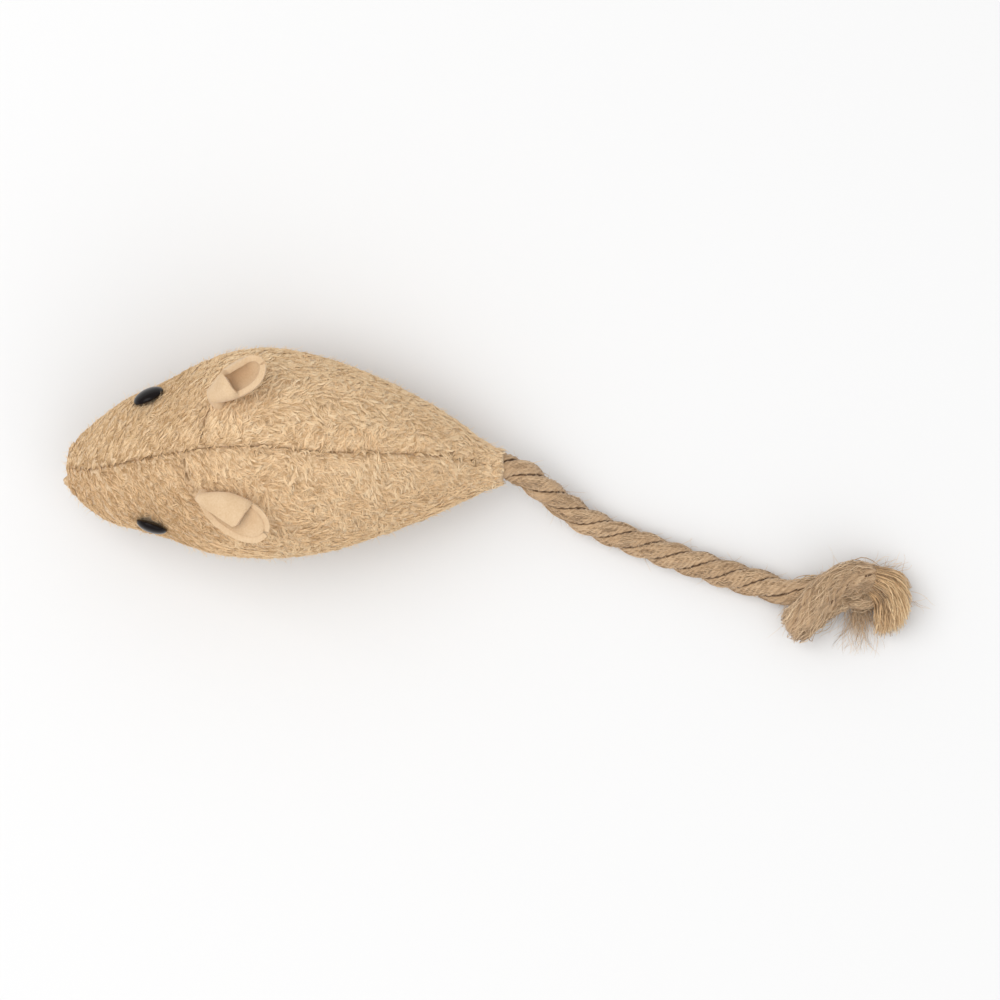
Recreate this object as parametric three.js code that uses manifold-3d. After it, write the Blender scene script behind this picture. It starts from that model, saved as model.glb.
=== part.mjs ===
// A stuffed catnip mouse: three cloth panels sewn round a fibre filling, folded felt ears, domed
// eyes and a knotted jute tail. Millimetres, +Z up, nose towards -Y, resting on its flat belly.
import * as THREE from "three";
import { mergeVertices } from "three/addons/utils/BufferGeometryUtils.js";
import Module from "manifold-3d";

const wasm = await Module();
wasm.setup();

// Driving dimensions of the body
const bodyLength = 62;
const bodyWidth = 31;
const bodyHeight = 27;
const bodyBow = 2; // sideways distance from the widest section to nose and tail
const bellyFlatDepth = 0.5; // cut off the belly where it rests
const clothThickness = 1.2;
const seamDrift = 1.2; // largest sideways wander of the back seam
const seamValleyDepth = 0.8;
const seamValleyHalfWidth = 1.1;
const threadDiameter = 0.5;

// Clearances
const seamGap = 0.3; // between the edges of two panels
const fitGap = 0.3; // between two pieces that touch
const restGap = 0.05; // under the knot, where it lies on what the mouse stands on
const cutOverrun = 5; // how far a cutting solid passes what it cuts
const weldDistance = 0.0001; // closer points are one point
const probeStep = 0.001; // a share of the length or an angle, for slopes

// Driving dimensions of the ears
const feltThickness = 1;
const earLength = 10.4;
const earFeltWidth = 11;
const earFoldDiameter = 2.3;
const earFootDepth = 4;
const earSwingRadius = 1.4; // the ear's rounded foot turns in this

// Driving dimensions of the eyes
const eyeDiameter = 4.6;
const eyeDomeHeight = 1.1;
const eyeRimHeight = 0.3;
const eyeShankDiameter = 1.6;
const eyeShankLength = 3.6;
const eyeWasherDiameter = 4.8;
const eyeWasherThickness = 0.7;

// Driving dimensions of the filling and the catnip
const catnipSize = new THREE.Vector3(12, 16, 11);
const catnipCentre = new THREE.Vector3(0.4, 3, 13.5);

// Driving dimensions of the tail
const ropeDiameter = 4;
const tailSewnLength = 8;
const tailStitchLength = 2.4;
const knotRopeDiameter = 2.9; // pulled thinner where it is tight
const knotReach = 1.7; // one unit of the knot's plan
const knotRise = 2.3; // how far its strands pass above and below its middle
const tuftLength = 4;
const tuftEndDiameter = 5;

// The rope's route, chosen by hand: to the left of the tail seam, back from where the rope clears
// it, and the height of the rope's underside. It runs from the joint at the body over the root
// stretch to the second joint, and over the free stretch to the knot.
const swingPlace = [0.6, 0, 4.9];
const rootPlaces = [[2.3, 2.4, 3.9], [4.2, 4.8, 2.7]];
const liftPlace = [6, 7.1, 1.6];
const freePlaces = [
  [7.9, 10, 0.7], [9.7, 14.1, 0.1], [11.4, 18.4, 0.05], [12.9, 22.4, 0.05],
  [14.3, 26.5, 0.05], [15.6, 30.5, 0.05], [16.8, 34.6, 0.05], [17.9, 38.3, 0.05],
];

// Counts
const ropeSides = 10;
const rootSteps = 3;
const freeSteps = 8;
const knotSides = 8;
const knotTubeSteps = 56;
const threadSides = 6;
const roundSides = 20;
const eyeDomeSteps = 6;

// The body's outline. Each row holds how far along it lies, then the width, top and bottom of the
// section there, its share of the bow and its share of the seam's drift.
const bodyShares = [
  [0, 0, 0.345, 0.345, 1.1, 0],
  [0.006, 0.25, 0.42, 0.28, 1.1, 0],
  [0.02, 0.335, 0.475, 0.24, 1.1, 0.1],
  [0.05, 0.43, 0.56, 0.195, 1.1, 0.15],
  [0.1, 0.556, 0.68, 0.14, 0.95, 0],
  [0.15, 0.645, 0.77, 0.095, 0.68, -0.1],
  [0.23, 0.745, 0.875, 0.04, 0.48, -0.6],
  [0.32, 0.913, 0.945, 0, 0.25, -1],
  [0.38, 0.974, 0.978, 0, 0.08, -0.9],
  [0.467, 1, 1, 0, 0, -0.75],
  [0.553, 0.955, 0.99, 0, 0.12, -0.4],
  [0.64, 0.865, 0.94, 0, 0.2, -0.4],
  [0.712, 0.759, 0.875, 0.015, 0.3, -0.5],
  [0.784, 0.637, 0.785, 0.05, 0.42, -0.6],
  [0.856, 0.502, 0.675, 0.095, 0.58, -0.7],
  [0.928, 0.334, 0.53, 0.14, 0.85, -0.5],
  [0.978, 0.22, 0.42, 0.17, 1, -0.2],
  [1, 0.19, 0.375, 0.18, 1, 0],
];
const widestHeightShare = 0.43; // of a section's height
const bellyRoundShare = 0.8; // 1 is an ellipse, less is squarer
const bellySeamShare = 0.4; // of the way from the belly up to the widest height
const seamFadeShare = 4; // the valleys fade where the body is under so many of their half widths

// Where the skin has its rings, and its points from the back seam to the belly seam and across
const stationShares = [
  0.006, 0.02, 0.05, 0.1, 0.15, 0.185, 0.23, 0.258, 0.274, 0.29, 0.303, 0.317, 0.331, 0.355,
  0.41, 0.467, 0.53, 0.59, 0.65, 0.712, 0.784, 0.856, 0.915, 0.964, 1,
];
const sideArcShares = [0, 0.03, 0.065, 0.13, 0.24, 0.37, 0.5, 0.63, 0.76, 0.87, 0.94, 0.972];
const bellyArcShares = [0, 0.045, 0.12, 0.28, 0.5, 0.72, 0.88, 0.955, 1];
const innerStationShares = [
  0.006, 0.02, 0.05, 0.1, 0.15, 0.23, 0.32, 0.41, 0.5, 0.59, 0.65, 0.712, 0.784, 0.856, 0.928, 1,
];
const innerSideArcShares = [0, 0.13, 0.24, 0.37, 0.5, 0.63, 0.76, 0.88];
const innerBellyArcShares = [0, 0.28, 0.5, 0.72, 1];

// Seats of ears and eyes, as shares of the length and of the half width there. An ear points back
// and out by its heading, and up by its rise, in degrees.
const seats = {
  left_ear: { alongShare: 0.305, acrossShare: 0.42, dartShare: 0.274, heading: 21, rise: 27 },
  right_ear: { alongShare: 0.327, acrossShare: -0.53, dartShare: 0.317, heading: -31, rise: 25 },
  left_eye: { alongShare: 0.185, acrossShare: 0.85 },
  right_eye: { alongShare: 0.185, acrossShare: -0.87 },
};

const cloth = new THREE.MeshStandardMaterial({ color: 0xcdb28c, roughness: 0.95, metalness: 0 });
const felt = new THREE.MeshStandardMaterial({ color: 0xf0d0aa, roughness: 0.9, metalness: 0 });
const eyePlastic = new THREE.MeshStandardMaterial({ color: 0x160e0e, roughness: 0.12, metalness: 0 });
const washerPlastic = new THREE.MeshStandardMaterial({ color: 0xe8e6e0, roughness: 0.5, metalness: 0 });
const thread = new THREE.MeshStandardMaterial({ color: 0xa88a62, roughness: 0.8, metalness: 0 });
const jute = new THREE.MeshStandardMaterial({ color: 0xb09474, roughness: 0.95, metalness: 0 });
const fibre = new THREE.MeshStandardMaterial({ color: 0xf4f2ee, roughness: 1, metalness: 0 });
const herb = new THREE.MeshStandardMaterial({ color: 0x6f7f4a, roughness: 1, metalness: 0 });

// A smooth curve through one column of a table of shares.
function profile(rows, column) {
  const slope = (i) => {
    const before = rows[Math.max(i - 1, 0)];
    const after = rows[Math.min(i + 1, rows.length - 1)];
    return (after[column] - before[column]) / (after[0] - before[0]);
  };
  return (along) => {
    let i = 0;
    while (i < rows.length - 2 && along > rows[i + 1][0]) i++;
    const span = rows[i + 1][0] - rows[i][0];
    const t = (along - rows[i][0]) / span;
    const rise = t * t * (3 - 2 * t);
    const level = rows[i][column] * (1 - rise) + rows[i + 1][column] * rise;
    const lean = slope(i) * t * (1 - t) ** 2 - slope(i + 1) * t * t * (1 - t);
    return level + span * lean;
  };
}
const widthShare = profile(bodyShares, 1);
const topShare = profile(bodyShares, 2);
const bottomShare = profile(bodyShares, 3);
const bowShare = profile(bodyShares, 4);
const driftShare = profile(bodyShares, 5);
const bellySeamAngle = -Math.asin((1 - bellySeamShare) ** (1 / bellyRoundShare));

// The body's cross-section at a share of its length.
function sectionAt(along) {
  const half = (bodyWidth / 2) * widthShare(along);
  const top = bodyHeight * topShare(along);
  const bottom = bodyHeight * bottomShare(along) - bellyFlatDepth;
  const middle = bottom + widestHeightShare * (top - bottom);
  const centre = bodyBow * bowShare(along);
  const seam = centre + seamDrift * driftShare(along);
  const bellySeam = bottom + bellySeamShare * (middle - bottom);
  return { half, top, bottom, middle, centre, seam, bellySeam, y: bodyLength * (along - 1 / 2) };
}

// A dip that is 1 on its line and fades to both sides.
const dip = (distance) => Math.exp(-((distance / seamValleyHalfWidth) ** 2));

// How deep the seams draw the cloth in at a point of the skin.
function valleyAt(section, angle, x, y) {
  const left = Math.atan2(Math.sin(angle), Math.cos(angle));
  const right = Math.atan2(Math.sin(angle), -Math.cos(angle));
  const belly = Math.min(Math.abs(left - bellySeamAngle), Math.abs(right - bellySeamAngle));
  let deepest = dip(belly * section.half);
  if (Math.sin(angle) > 0) {
    deepest = Math.max(deepest, dip(x - section.seam));
    for (const ear of [seats.left_ear, seats.right_ear]) {
      const dart = bodyLength * (ear.dartShare - 1 / 2);
      const seat = section.centre + section.half * ear.acrossShare;
      const t = (x - section.seam) / (seat - section.seam);
      if (t > 0) deepest = Math.max(deepest, dip(y - dart) * (t > 1 ? dip(x - seat) : 1));
    }
  }
  const fade = Math.min(1, section.half / (seamFadeShare * seamValleyHalfWidth));
  return seamValleyDepth * deepest * fade;
}

// A point of the body's surface. Angle 0 is its left side and a quarter turn its back.
function bodyPoint(along, angle, valleys = true) {
  const section = sectionAt(along);
  const power = Math.sin(angle) < 0 ? bellyRoundShare : 1;
  const across = Math.sign(Math.cos(angle)) * Math.abs(Math.cos(angle)) ** power;
  const up = Math.abs(Math.sin(angle)) ** power;
  const x = section.centre + section.half * across;
  const reach = Math.sin(angle) < 0 ? section.bottom - section.middle : section.top - section.middle;
  const point = new THREE.Vector3(x, section.y, section.middle + reach * up);
  if (valleys) {
    const core = new THREE.Vector3(section.centre, section.y, section.middle);
    const depth = valleyAt(section, angle, x, section.y);
    const radius = point.distanceTo(core);
    point.lerp(core, Math.min(depth / radius, 1 / 2));
  }
  return point;
}

const seamAngle = (along) => {
  const section = sectionAt(along);
  return Math.acos((section.seam - section.centre) / section.half);
};

// One ring of the skin: down the left side, across the belly and up the right side.
function ringAngles(along, sideShares, bellyShares) {
  const top = seamAngle(along);
  const leftEnd = bellySeamAngle;
  const rightEnd = -Math.PI - bellySeamAngle;
  const rightTop = top - 2 * Math.PI;
  return [
    ...sideShares.map((share) => top + (leftEnd - top) * share),
    ...bellyShares.map((share) => leftEnd + (rightEnd - leftEnd) * share),
    ...sideShares.slice(1).reverse().map((share) => rightTop + (rightEnd - rightTop) * share),
  ];
}

// A closed skin over rings of points, from a first point to a last.
function loft(first, rings, last) {
  const points = [first, ...rings.flat(), last];
  const count = rings[0].length;
  const end = points.length - 1;
  const index = [];
  for (let j = 0; j < count; j++) {
    const k = (j + 1) % count;
    index.push(0, 1 + j, 1 + k);
    for (let i = 1; i < rings.length; i++) {
      const [a, b] = [1 + (i - 1) * count + j, 1 + (i - 1) * count + k];
      index.push(a, a + count, b + count, a, b + count, b);
    }
    index.push(end, end - count + k, end - count + j);
  }
  const geometry = new THREE.BufferGeometry().setFromPoints(points);
  geometry.setIndex(index);
  return geometry;
}

// A solid that manifold-3d can cut, with its faces pointing out.
function solidOf(geometry) {
  const bare = geometry.clone();
  bare.deleteAttribute("normal");
  bare.deleteAttribute("uv");
  const merged = mergeVertices(bare, weldDistance);
  const make = (triVerts) => {
    const vertProperties = merged.attributes.position.array;
    return new wasm.Manifold(new wasm.Mesh({ numProp: 3, vertProperties, triVerts }));
  };
  const solid = make(new Uint32Array(merged.index.array));
  return solid.volume() > 0 ? solid : make(new Uint32Array(merged.index.array).reverse());
}

function geometryOf(solid) {
  const mesh = solid.getMesh();
  const geometry = new THREE.BufferGeometry();
  geometry.setAttribute("position", new THREE.BufferAttribute(mesh.vertProperties, 3));
  geometry.setIndex(new THREE.BufferAttribute(mesh.triVerts, 1));
  geometry.computeVertexNormals();
  return geometry;
}

// The body's skin, drawn in on all sides by an inset.
function skin(inset, stations, sideShares, bellyShares, valleys) {
  const shrink = (point, along) => {
    const centre = sectionAt(along).centre;
    point.x = centre + (point.x - centre) * (1 - (2 * inset) / bodyWidth);
    point.y *= 1 - (2 * inset) / bodyLength;
    point.z = inset + point.z * (1 - (2 * inset) / bodyHeight);
    return point;
  };
  const rings = stations.map((along) =>
    ringAngles(along, sideShares, bellyShares).map((angle) =>
      shrink(bodyPoint(along, angle, valleys), along),
    ),
  );
  const last = sectionAt(1);
  const middle = new THREE.Vector3(last.centre, last.y, last.middle);
  return solidOf(loft(shrink(bodyPoint(0, 0, false), 0), rings, shrink(middle, 1)));
}

// A flat outline run through the body along an axis: "x" takes y and z points, "z" takes x and y.
function region(points, axis) {
  const outline = new THREE.Shape(points.map(([a, b]) => new THREE.Vector2(a, b)));
  const depth = 2 * (bodyLength + cutOverrun);
  const geometry = new THREE.ExtrudeGeometry(outline, { depth, bevelEnabled: false });
  geometry.translate(0, 0, -depth / 2);
  if (axis === "x") {
    const turn = new THREE.Matrix4().makeBasis(
      new THREE.Vector3(0, 1, 0),
      new THREE.Vector3(0, 0, 1),
      new THREE.Vector3(1, 0, 0),
    );
    geometry.applyMatrix4(turn);
  }
  return solidOf(geometry);
}

// The space on one side of a seam line, which starts and ends past the body.
function besideSeam(line, offset, far, axis) {
  const before = -bodyLength / 2 - cutOverrun;
  const after = bodyLength / 2 + cutOverrun;
  const places = [[before, line[0][1]], ...line, [after, line.at(-1)[1]]];
  const points = places.map(([y, level]) => [y, level + offset]);
  points.push([after, far], [before, far]);
  return region(axis === "x" ? points : points.map(([y, x]) => [x, y]), axis);
}

const allStations = [0, ...stationShares];
const seamLine = allStations.map((along) => [sectionAt(along).y, sectionAt(along).seam]);
const bellyLine = allStations.map((along) => [sectionAt(along).y, sectionAt(along).bellySeam]);
const outside = bodyHeight + bodyWidth;

// A straight round bar from one point to another.
function bar(from, to, diameter, sides = roundSides) {
  const way = to.clone().sub(from);
  const geometry = new THREE.CylinderGeometry(diameter / 2, diameter / 2, way.length(), sides);
  const turn = new THREE.Quaternion().setFromUnitVectors(
    new THREE.Vector3(0, 1, 0),
    way.clone().normalize(),
  );
  geometry.applyQuaternion(turn);
  return geometry.translate(...from.clone().add(to).divideScalar(2).toArray());
}

// A tube along a smooth curve through points.
function tube(points, diameter, sides, steps) {
  const outline = new THREE.Shape(
    Array.from({ length: sides }, (_, i) => {
      const angle = (2 * Math.PI * i) / sides;
      return new THREE.Vector2(Math.cos(angle), Math.sin(angle)).multiplyScalar(diameter / 2);
    }),
  );
  const extrudePath = new THREE.CatmullRomCurve3(points);
  return new THREE.ExtrudeGeometry(outline, { steps, bevelEnabled: false, extrudePath });
}

// The point and outward normal of the skin at a seat.
function seatFrame({ alongShare, acrossShare }) {
  const angle = Math.acos(acrossShare);
  const point = bodyPoint(alongShare, angle, false);
  const back = bodyPoint(alongShare + probeStep, angle, false).sub(point);
  const round = bodyPoint(alongShare, angle + probeStep, false).sub(point);
  const normal = back.cross(round).normalize();
  if (normal.z < 0) normal.negate();
  return { point, normal };
}

// The ear's felt, laid out as a leaf, then rolled to a trough that opens as it leaves the fold.
// Each row holds how far along it lies, the felt's half width and the trough's radius there.
const earShares = [
  [0, 0.42, 1],
  [0.12, 0.56, 1.25],
  [0.25, 0.78, 1.8],
  [0.4, 0.95, 2.35],
  [0.55, 1, 2.65],
  [0.7, 0.94, 2.75],
  [0.84, 0.74, 2.85],
  [0.94, 0.48, 3],
  [1, 0.2, 3.2],
];
const earCupShare = { left_ear: 1, right_ear: 0.72 }; // how wide the trough opens
const earRollAngle = { left_ear: 12, right_ear: -10 }; // one edge stands higher than the other
const earCurlShare = 0.12; // how far the tip rises, of the length
const earColumns = 12;
const feltHalfShare = profile(earShares, 1);
const feltRadiusShare = profile(earShares, 2);

// A seated ear's axes: its hinge point, the hinge's own direction across the ear, the way the ear
// points and the way its cup opens.
function earFrame(name) {
  const { point, normal } = seatFrame(seats[name]);
  const heading = THREE.MathUtils.degToRad(seats[name].heading);
  const rise = THREE.MathUtils.degToRad(seats[name].rise);
  const out = new THREE.Vector3(Math.sin(heading), Math.cos(heading), Math.tan(rise)).normalize();
  const across = out.clone().cross(normal).normalize();
  const open = across.clone().cross(out);
  const hinge = point.clone().addScaledVector(normal, earSwingRadius + fitGap);
  return { normal, hinge, out, across, open };
}

// How far round its fold the felt reaches to each side where it is sewn in, in radians
const footWrap = ((earFeltWidth / 2) * feltHalfShare(0)) / (earFoldDiameter / 2);

// A closed sheet of felt, with the hinge at its origin along X, pointing along Y and cupped
// towards Z. Its end at the hinge is rounded about the hinge, so that it can turn.
function ear(name) {
  const foldRadius = earFoldDiameter / 2;
  const hingeHeight = (foldRadius * (1 - Math.cos(footWrap))) / 2;
  const roll = THREE.MathUtils.degToRad(earRollAngle[name]);
  const place = (row, column, side) => {
    const along = earShares[row][0];
    const cup = 1 + (earCupShare[name] - 1) * Math.min(1, along / earShares[2][0]);
    const radius = foldRadius * feltRadiusShare(along) * cup;
    const width = (earFeltWidth / 2) * feltHalfShare(along) * (2 * (column / earColumns) - 1);
    const angle = width / radius + roll * Math.min(1, along / earShares[2][0]);
    const wall = radius - (side * feltThickness) / 2;
    const height = radius - wall * Math.cos(angle) - hingeHeight;
    const curl = earLength * earCurlShare * along ** 3;
    const foot = -Math.sqrt(Math.max(earSwingRadius ** 2 - height ** 2, 0));
    const reach = row === 0 ? foot : earLength * along;
    return new THREE.Vector3(wall * Math.sin(angle), reach, height + curl);
  };
  const rows = earShares.map((_, row) => {
    const under = Array.from({ length: earColumns + 1 }, (_, column) => place(row, column, -1));
    const upper = Array.from({ length: earColumns + 1 }, (_, column) => place(row, column, 1));
    return [...under, ...upper.reverse()];
  });
  return solidOf(sheet(rows, earColumns + 1));
}

// A closed sheet from rows of points, each row running along one face and back along the other.
function sheet(rows, count) {
  const ring = 2 * count;
  const index = [];
  for (let i = 1; i < rows.length; i++) {
    for (let j = 0; j < ring; j++) {
      const [a, b] = [(i - 1) * ring + j, (i - 1) * ring + ((j + 1) % ring)];
      index.push(a, a + ring, b + ring, a, b + ring, b);
    }
  }
  const lastRow = (rows.length - 1) * ring;
  for (let j = 0; j + 1 < count; j++) {
    const [a, b, c, d] = [j, j + 1, ring - 2 - j, ring - 1 - j];
    index.push(a, b, c, a, c, d);
    index.push(lastRow + a, lastRow + c, lastRow + b, lastRow + a, lastRow + d, lastRow + c);
  }
  const geometry = new THREE.BufferGeometry().setFromPoints(rows.flat());
  geometry.setIndex(index);
  return geometry;
}

// The folded foot of an ear, sewn into the dart, and the slot that it needs.
function earFootParts(name) {
  const { hinge, normal, across } = earFrame(name);
  const outer = (earFoldDiameter + feltThickness) / 2;
  const inner = outer - feltThickness;
  const [from, to] = [-Math.PI / 2 - footWrap, -Math.PI / 2 + footWrap];
  const outline = new THREE.Shape();
  outline.absarc(0, 0, outer, from, to, false);
  outline.absarc(0, 0, inner, to, from, true);
  const settings = { depth: earFootDepth, bevelEnabled: false, curveSegments: earColumns };
  const geometry = new THREE.ExtrudeGeometry(outline, settings);
  const down = normal.clone().negate();
  const opening = down.clone().cross(across);
  const turn = new THREE.Matrix4().makeBasis(across, opening, down);
  const top = hinge.clone().addScaledVector(down, earSwingRadius + fitGap);
  geometry.applyMatrix4(turn).translate(...top.toArray());
  const slotFrom = top.clone().addScaledVector(normal, clothThickness);
  const slotTo = top.clone().addScaledVector(down, earFootDepth + fitGap);
  const slot = solidOf(bar(slotFrom, slotTo, 2 * (outer + fitGap)));
  return { foot: solidOf(geometry), slot };
}

// A lathed solid that stands on the skin, with its axis along the skin's normal.
function onSkin(frame, profilePoints) {
  const points = profilePoints.map(([radius, height]) => new THREE.Vector2(radius, height));
  const geometry = new THREE.LatheGeometry(points, roundSides);
  const turn = new THREE.Quaternion().setFromUnitVectors(new THREE.Vector3(0, 1, 0), frame.normal);
  return solidOf(geometry.applyQuaternion(turn).translate(...frame.point.toArray()));
}

// A domed eye with its shank, the washer that holds it behind the cloth, and the room they need.
function eyeParts(name) {
  const frame = seatFrame(seats[name]);
  const [radius, shank] = [eyeDiameter / 2, eyeShankDiameter / 2];
  const seat = fitGap;
  const shankEnd = seat - eyeShankLength;
  const dome = Array.from({ length: eyeDomeSteps }, (_, i) => {
    const angle = (Math.PI / 2) * (i / eyeDomeSteps);
    return [radius * Math.cos(angle), seat + eyeRimHeight + eyeDomeHeight * Math.sin(angle)];
  });
  const crown = [0, seat + eyeRimHeight + eyeDomeHeight];
  const stem = [[0, shankEnd], [shank, shankEnd], [shank, seat]];
  const eye = onSkin(frame, [...stem, [radius, seat], ...dome, crown]);
  const [bore, rim] = [shank + fitGap, eyeWasherDiameter / 2];
  const back = -clothThickness - fitGap;
  const front = back - eyeWasherThickness;
  const ring = [[bore, front], [rim, front], [rim, back], [bore, back], [bore, front]];
  const drill = (reach) => {
    const deep = shankEnd - fitGap;
    return onSkin(frame, [[0, deep], [reach, deep], [reach, cutOverrun], [0, cutOverrun]]);
  };
  return { eye, washer: onSkin(frame, ring), hole: drill(bore), room: drill(rim + fitGap) };
}

// The rope's sewn end lies in the tapered end of the body, with a stitch through it and the cloth.
const tailEnd = sectionAt(1);
const tailAxis = new THREE.Vector3(tailEnd.centre, tailEnd.y, (tailEnd.top + tailEnd.bottom) / 2);
const ropeStart = tailAxis.clone().setY(tailEnd.y - tailSewnLength);
const boreDiameter = ropeDiameter + 2 * fitGap;
const ropeBore = solidOf(bar(
  ropeStart.clone().setY(ropeStart.y - fitGap),
  tailAxis.clone().setY(tailAxis.y + cutOverrun),
  boreDiameter,
));
const stitchY = tailEnd.y - tailSewnLength / 2;
const stitchAlong = stitchY / bodyLength + 1 / 2;
const stitchSection = sectionAt(stitchAlong);
const stitchLift = fitGap + threadDiameter / 2;
const stitchTop = new THREE.Vector3(tailAxis.x, stitchY, stitchSection.top + stitchLift);
const stitchBottom = stitchTop.clone().setZ(stitchSection.bottom - stitchLift);
const stitchHole = solidOf(bar(stitchBottom, stitchTop, threadDiameter + 2 * fitGap));
const sewnEnd = solidOf(bar(ropeStart, tailAxis, ropeDiameter)).subtract(stitchHole);

// One stitch: a post through the rope and a stretch that lies along the cloth above and below.
function tailStitch() {
  const stitch = (from, to) => solidOf(bar(from, to, threadDiameter, threadSides));
  const next = sectionAt((stitchY + tailStitchLength / 2) / bodyLength + 1 / 2);
  const along = (at, climb) => {
    const reach = new THREE.Vector3(0, tailStitchLength / 2, climb);
    return stitch(at.clone().sub(reach), at.clone().add(reach));
  };
  return stitch(stitchBottom, stitchTop)
    .add(along(stitchTop, next.top - stitchSection.top))
    .add(along(stitchBottom, next.bottom - stitchSection.bottom));
}

// Cloth: one skin less its inside, then cut along its seams.
const earRoots = { left_ear: earFootParts("left_ear"), right_ear: earFootParts("right_ear") };
const eyes = { left_eye: eyeParts("left_eye"), right_eye: eyeParts("right_eye") };
// All that lies above what the mouse rests on: the belly is cut flat there.
const aboveRest = region(
  [[-outside, 0], [outside, 0], [outside, outside], [-outside, outside]],
  "x",
);
const fullSkin = skin(0, stationShares, sideArcShares, bellyArcShares, true);
const outerSkin = fullSkin.intersect(aboveRest);
const inside = (inset) =>
  skin(inset, innerStationShares, innerSideArcShares, innerBellyArcShares, false);
let clothSolid = outerSkin.subtract(inside(clothThickness)).subtract(ropeBore).subtract(stitchHole);
for (const root of Object.values(earRoots)) clothSolid = clothSolid.subtract(root.slot);
for (const eye of Object.values(eyes)) clothSolid = clothSolid.subtract(eye.hole);
const upperCloth = clothSolid.intersect(besideSeam(bellyLine, seamGap / 2, outside, "x"));
const bellyPanel = clothSolid.intersect(besideSeam(bellyLine, -seamGap / 2, -outside, "x"));
const leftPanel = upperCloth.intersect(besideSeam(seamLine, seamGap / 2, outside, "z"));
const rightPanel = upperCloth.intersect(besideSeam(seamLine, -seamGap / 2, -outside, "z"));

// Filling: two wads that close round the catnip, drawn in from the cloth and short of the tail.
const egg = (grow) => {
  const geometry = new THREE.SphereGeometry(1 / 2, roundSides, roundSides / 2);
  const size = catnipSize.clone().addScalar(2 * grow);
  return solidOf(geometry.scale(...size.toArray()).translate(...catnipCentre.toArray()));
};
let filling = inside(clothThickness + fitGap).subtract(egg(fitGap)).subtract(ropeBore);
for (const root of Object.values(earRoots)) filling = filling.subtract(root.slot);
for (const eye of Object.values(eyes)) filling = filling.subtract(eye.room);
const split = catnipCentre.y;
const between = (from, to) => {
  const corners = [[from, -outside], [to, -outside], [to, outside], [from, outside]];
  return region(corners, "x");
};
const headWad = filling.intersect(between(-bodyLength, split - seamGap / 2));
const rumpWad = filling.intersect(between(split + seamGap / 2, ropeStart.y + ropeDiameter / 2));

// A thread laid in a seam's valley, just clear of the cloth, over places along and round the body.
function seamThread(places) {
  const points = places.map(([along, angle]) => {
    const section = sectionAt(along);
    const core = new THREE.Vector3(section.centre, section.y, section.middle);
    const point = bodyPoint(along, angle);
    return point.addScaledVector(point.clone().sub(core).normalize(), stitchLift);
  });
  return solidOf(tube(points, threadDiameter, threadSides, points.length - 1));
}
const threadShares = stationShares.slice(2, -1);
const backThread = () => seamThread(threadShares.map((along) => [along, seamAngle(along)]));
const bellyThread = (angle) => seamThread(threadShares.map((along) => [along, angle]));

// The dart's thread leaves the back seam square to it, bends back towards the ear's seat and
// stops short of the ear's foot.
const dartSteps = 3;
function dartThread(name) {
  const { alongShare, acrossShare, dartShare } = seats[name];
  const top = seamAngle(dartShare);
  const end = Math.acos(acrossShare);
  const length = bodyPoint(dartShare, top).distanceTo(bodyPoint(alongShare, end));
  const first = (threadDiameter + 2 * fitGap) / length;
  const last = 1 - (earFoldDiameter / 2 + feltThickness + 2 * fitGap) / length;
  const places = Array.from({ length: dartSteps + 1 }, (_, i) => {
    const t = first + ((last - first) * i) / dartSteps;
    return [dartShare + (alongShare - dartShare) * t ** 3, top + (end - top) * t];
  });
  return seamThread(places);
}

// Tail: the route's points in the mouse's frame, chosen from where the rope clears the seam.
const routeStart = new THREE.Vector3(
  tailEnd.centre,
  tailEnd.y + ropeDiameter / 2 + fitGap,
  ropeDiameter / 2,
);
const routePoint = (place) => new THREE.Vector3(...place).add(routeStart);
const swingPivot = routePoint(swingPlace);
const rootRoute = rootPlaces.map(routePoint);
const liftPivot = routePoint(liftPlace);
const freeRoute = freePlaces.map(routePoint);

// A stretch of rope that starts with a ball, which turns in place on its joint.
function jointedStretch(pivot, route, end, steps) {
  const ball = new THREE.SphereGeometry(ropeDiameter / 2, roundSides, roundSides / 2);
  const rope = tube([pivot, ...route, end], ropeDiameter, ropeSides, steps);
  return solidOf(rope).add(solidOf(ball.translate(...pivot.toArray())));
}
const rootEndWay = liftPivot.clone().sub(rootRoute.at(-1)).normalize();
const rootEnd = liftPivot.clone().addScaledVector(rootEndWay, -ropeDiameter / 2 - fitGap);
const entry = freeRoute.at(-1);
const entryWay = entry.clone().sub(freeRoute.at(-2)).normalize();
const ropeEnd = entry.clone().addScaledVector(entryWay, -fitGap);

// Knot: an overhand knot, a three-lobed curve cut open in its first lobe. Its plan is in units of
// the reach, x against the way of the rope and y to the side.
const knotTurn = 16; // degrees
const knotOpening = 0.6; // radians left out at each end of the curve
const knotLobeShare = 2.4;
const knotPlateauShare = 0.6; // keeps strands high or low while they cross
const knotEntryShares = [
  [5.2, -1.9, -0.6], [4.4, -1.67, -0.6], [3.75, -2.05, -0.45], [2.83, -2.78, 0.15],
];
const knotExitShares = [[-2.72, -2.66, -0.9], [-3.68, -1.87, -0.8], [-4.3, -0.68, -0.6]];
const knotSteps = 16;
const knotSamples = 240;
function knotPlan() {
  const curve = Array.from({ length: knotSteps + 1 }, (_, i) => {
    const t = (Math.PI - knotOpening) * ((2 * i) / knotSteps - 1);
    const wave = -Math.sin(3 * t);
    return [
      Math.sin(t) + knotLobeShare * Math.sin(2 * t),
      Math.cos(t) - knotLobeShare * Math.cos(2 * t),
      wave * (1 + knotPlateauShare * (1 - wave * wave)),
    ];
  });
  return [...knotEntryShares, ...curve, ...knotExitShares];
}
const knotWay = entryWay.clone().setZ(0).normalize();
knotWay.applyAxisAngle(new THREE.Vector3(0, 0, 1), THREE.MathUtils.degToRad(knotTurn));
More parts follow.
